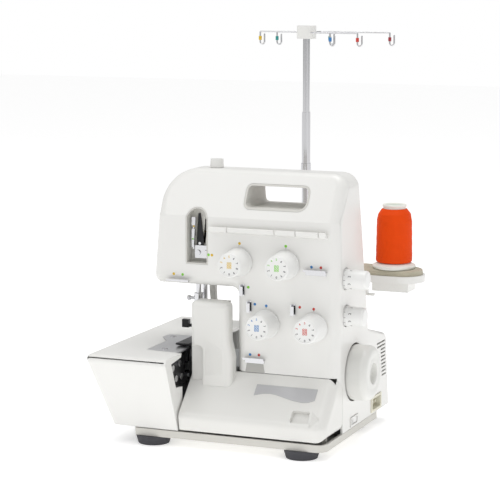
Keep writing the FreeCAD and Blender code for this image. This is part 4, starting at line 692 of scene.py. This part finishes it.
# ------------------------------------------------------------------ finishes of kept nodes
NODE_FINISH: dict[str, Finish] = {
    "front_cover": SHELL, "rear_cover": SHELL, "side_cover": SHELL, "opening_liners": LINER, "base_pan": BASE,
    "thread_ledge": SHELL, "cloth_plate": SHELL, "looper_cover": COVER, "finger_guard": COVER,
    "spool_tray": SHELL, "stand_bracket": SHELL, "guide_block": SHELL,
    "rubber_feet": RUBBER, "looper_cover_rod": STEEL, "looper_cover_band": SILVER, "needle_plate": STEEL,
    "tension_studs": CHROME, "springs": STEEL, "thread_guides": CHROME, "needle_thread_guide": CHROME,
    "take_up_lever": BLACKED, "needle_bar": CHROME, "needle_clamp": CHROME, "bar_bushes": BRONZE,
    "presser_bar": CHROME, "presser_foot": BLACKED, "presser_lifter": LINER, "pressure_screw": SHELL,
    "upper_knife": BLACKED, "lower_knife": BLACKED, "pivot_pins": STEEL, "upper_looper": CHROME,
    "lower_looper": CHROME, "feed_dog": STEEL, "bed_cover": CASTING, "main_shaft": STEEL,
    "main_shaft_bushes": BRONZE, "motor": MOTOR, "motor_pulley": STEEL, "drive_belt": BELT,
    "machine_frame": CASTING, "power_inlet": IVORY, "power_switch": SHELL, "switch_rocker": DIAL,
    "spool_pins": SHELL, "pole_lower": CHROME, "pole_upper": CHROME, "guide_wires": CHROME, "screws": CHROME,
}


# ------------------------------------------------------------------ studio
@dataclass
class Studio:
    """Pale floor, soft lights and the camera."""

    eye: tuple[float, float, float] = (0.7687, -1.9113, 0.5173)
    azimuth_deg: float = 22.28
    down_deg: float = 8.57
    lens_mm: float = 136.6

    def build(self) -> None:
        """Floor, world, lights and camera."""
        self.floor()
        self.world()
        self.light("key", (-1.1, -1.3, 2.0), 1.0, 6.5)
        self.light("fill", (1.7, -1.0, 0.9), 1.8, 1.0)
        self.light("top", (0.1, 0.1, 2.1), 1.2, 17.0)
        bpy.context.scene.view_settings.view_transform = "Standard"
        camera = bpy.data.cameras.new("camera")
        camera.lens, camera.sensor_width = self.lens_mm, 36.0
        camera.clip_end = 50.0
        stand = bpy.data.objects.new("camera", camera)
        stand.location = self.eye
        stand.rotation_euler = Euler((math.radians(90 - self.down_deg), 0.0, math.radians(self.azimuth_deg)))
        bpy.context.scene.collection.objects.link(stand)
        bpy.context.scene.camera = stand

    def floor(self) -> None:
        """Flat sheet of studio paper: z = 0 on a square grid."""
        line = np.linspace(-6000.0, 6000.0, 9)
        x, y = np.meshgrid(line, line, indexing="ij")
        sheet = surface("studio_floor", [np.stack([x, y, np.full_like(x, -0.05)], axis=-1)], wrap=False)
        if sheet.data.polygons[0].normal.z < 0:
            sheet.data.flip_normals()
        dress(sheet, FLOOR)

    def world(self) -> None:
        """White behind the machine, dimmer where it lights and is mirrored."""
        world = bpy.data.worlds.new("studio")
        world.use_nodes = True
        back = world.node_tree.nodes["Background"]
        back.inputs["Color"].default_value = (1.0, 1.0, 1.0, 1.0)
        ray = world.node_tree.nodes.new("ShaderNodeLightPath")
        strength = world.node_tree.nodes.new("ShaderNodeMapRange")
        strength.inputs["To Min"].default_value = 0.56
        strength.inputs["To Max"].default_value = 1.0
        world.node_tree.links.new(ray.outputs["Is Camera Ray"], strength.inputs["Value"])
        world.node_tree.links.new(strength.outputs[0], back.inputs["Strength"])
        bpy.context.scene.world = world

    def light(self, name: str, place: tuple[float, float, float], size: float, power: float) -> None:
        """Soft square light aimed at the machine.

        Args:
            name: light name.
            place: where it hangs, in metres.
            size: side of the light, in metres.
            power: watts.
        """
        lamp = bpy.data.lights.new(name, "AREA")
        lamp.size, lamp.energy = size, power
        holder = bpy.data.objects.new(name, lamp)
        holder.location = place
        aim = Vector((0.0, 0.0, 0.2)) - Vector(place)
        holder.rotation_euler = aim.to_track_quat("-Z", "Y").to_euler()
        bpy.context.scene.collection.objects.link(holder)


def main() -> None:
    """Build each sub-assembly in order and report it."""
    logging.basicConfig(level=logging.INFO, format="%(name)s %(message)s")
    assemblies: list[SubAssembly] = [Covers()]
    dials = [("left_needle_dial", "tension_dial_left_upper_needle", -5.5, 201.0, YELLOW),
             ("right_needle_dial", "tension_dial_right_upper_needle", 48.5, 201.0, GREEN),
             ("upper_looper_dial", "tension_dial_upper_looper", 26.0, 135.5, BLUE),
             ("lower_looper_dial", "tension_dial_lower_looper", 80.5, 135.5, RED)]
    assemblies += [TensionDial(body=body, node=node, x=x, z=z, colour=colour)
                   for body, node, x, z, colour in dials]
    assemblies += [SideDial(body="stitch_dial", node="stitch_length_dial", y=-29.0, z=186.0, reach=25.0),
                   SideDial(body="feed_dial", node="differential_feed_dial", y=-26.5, z=145.6, reach=21.5),
                   Handwheel(), ThreadStand(), CoverTrim()]
    for assembly in assemblies:
        assembly.build()
        log.info("%s: %d pieces", type(assembly).__name__, len(assembly.pieces))
    for node, finish in NODE_FINISH.items():
        dress(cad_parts[node], finish)
    Studio().build()


if __name__ == "__main__":
    main()
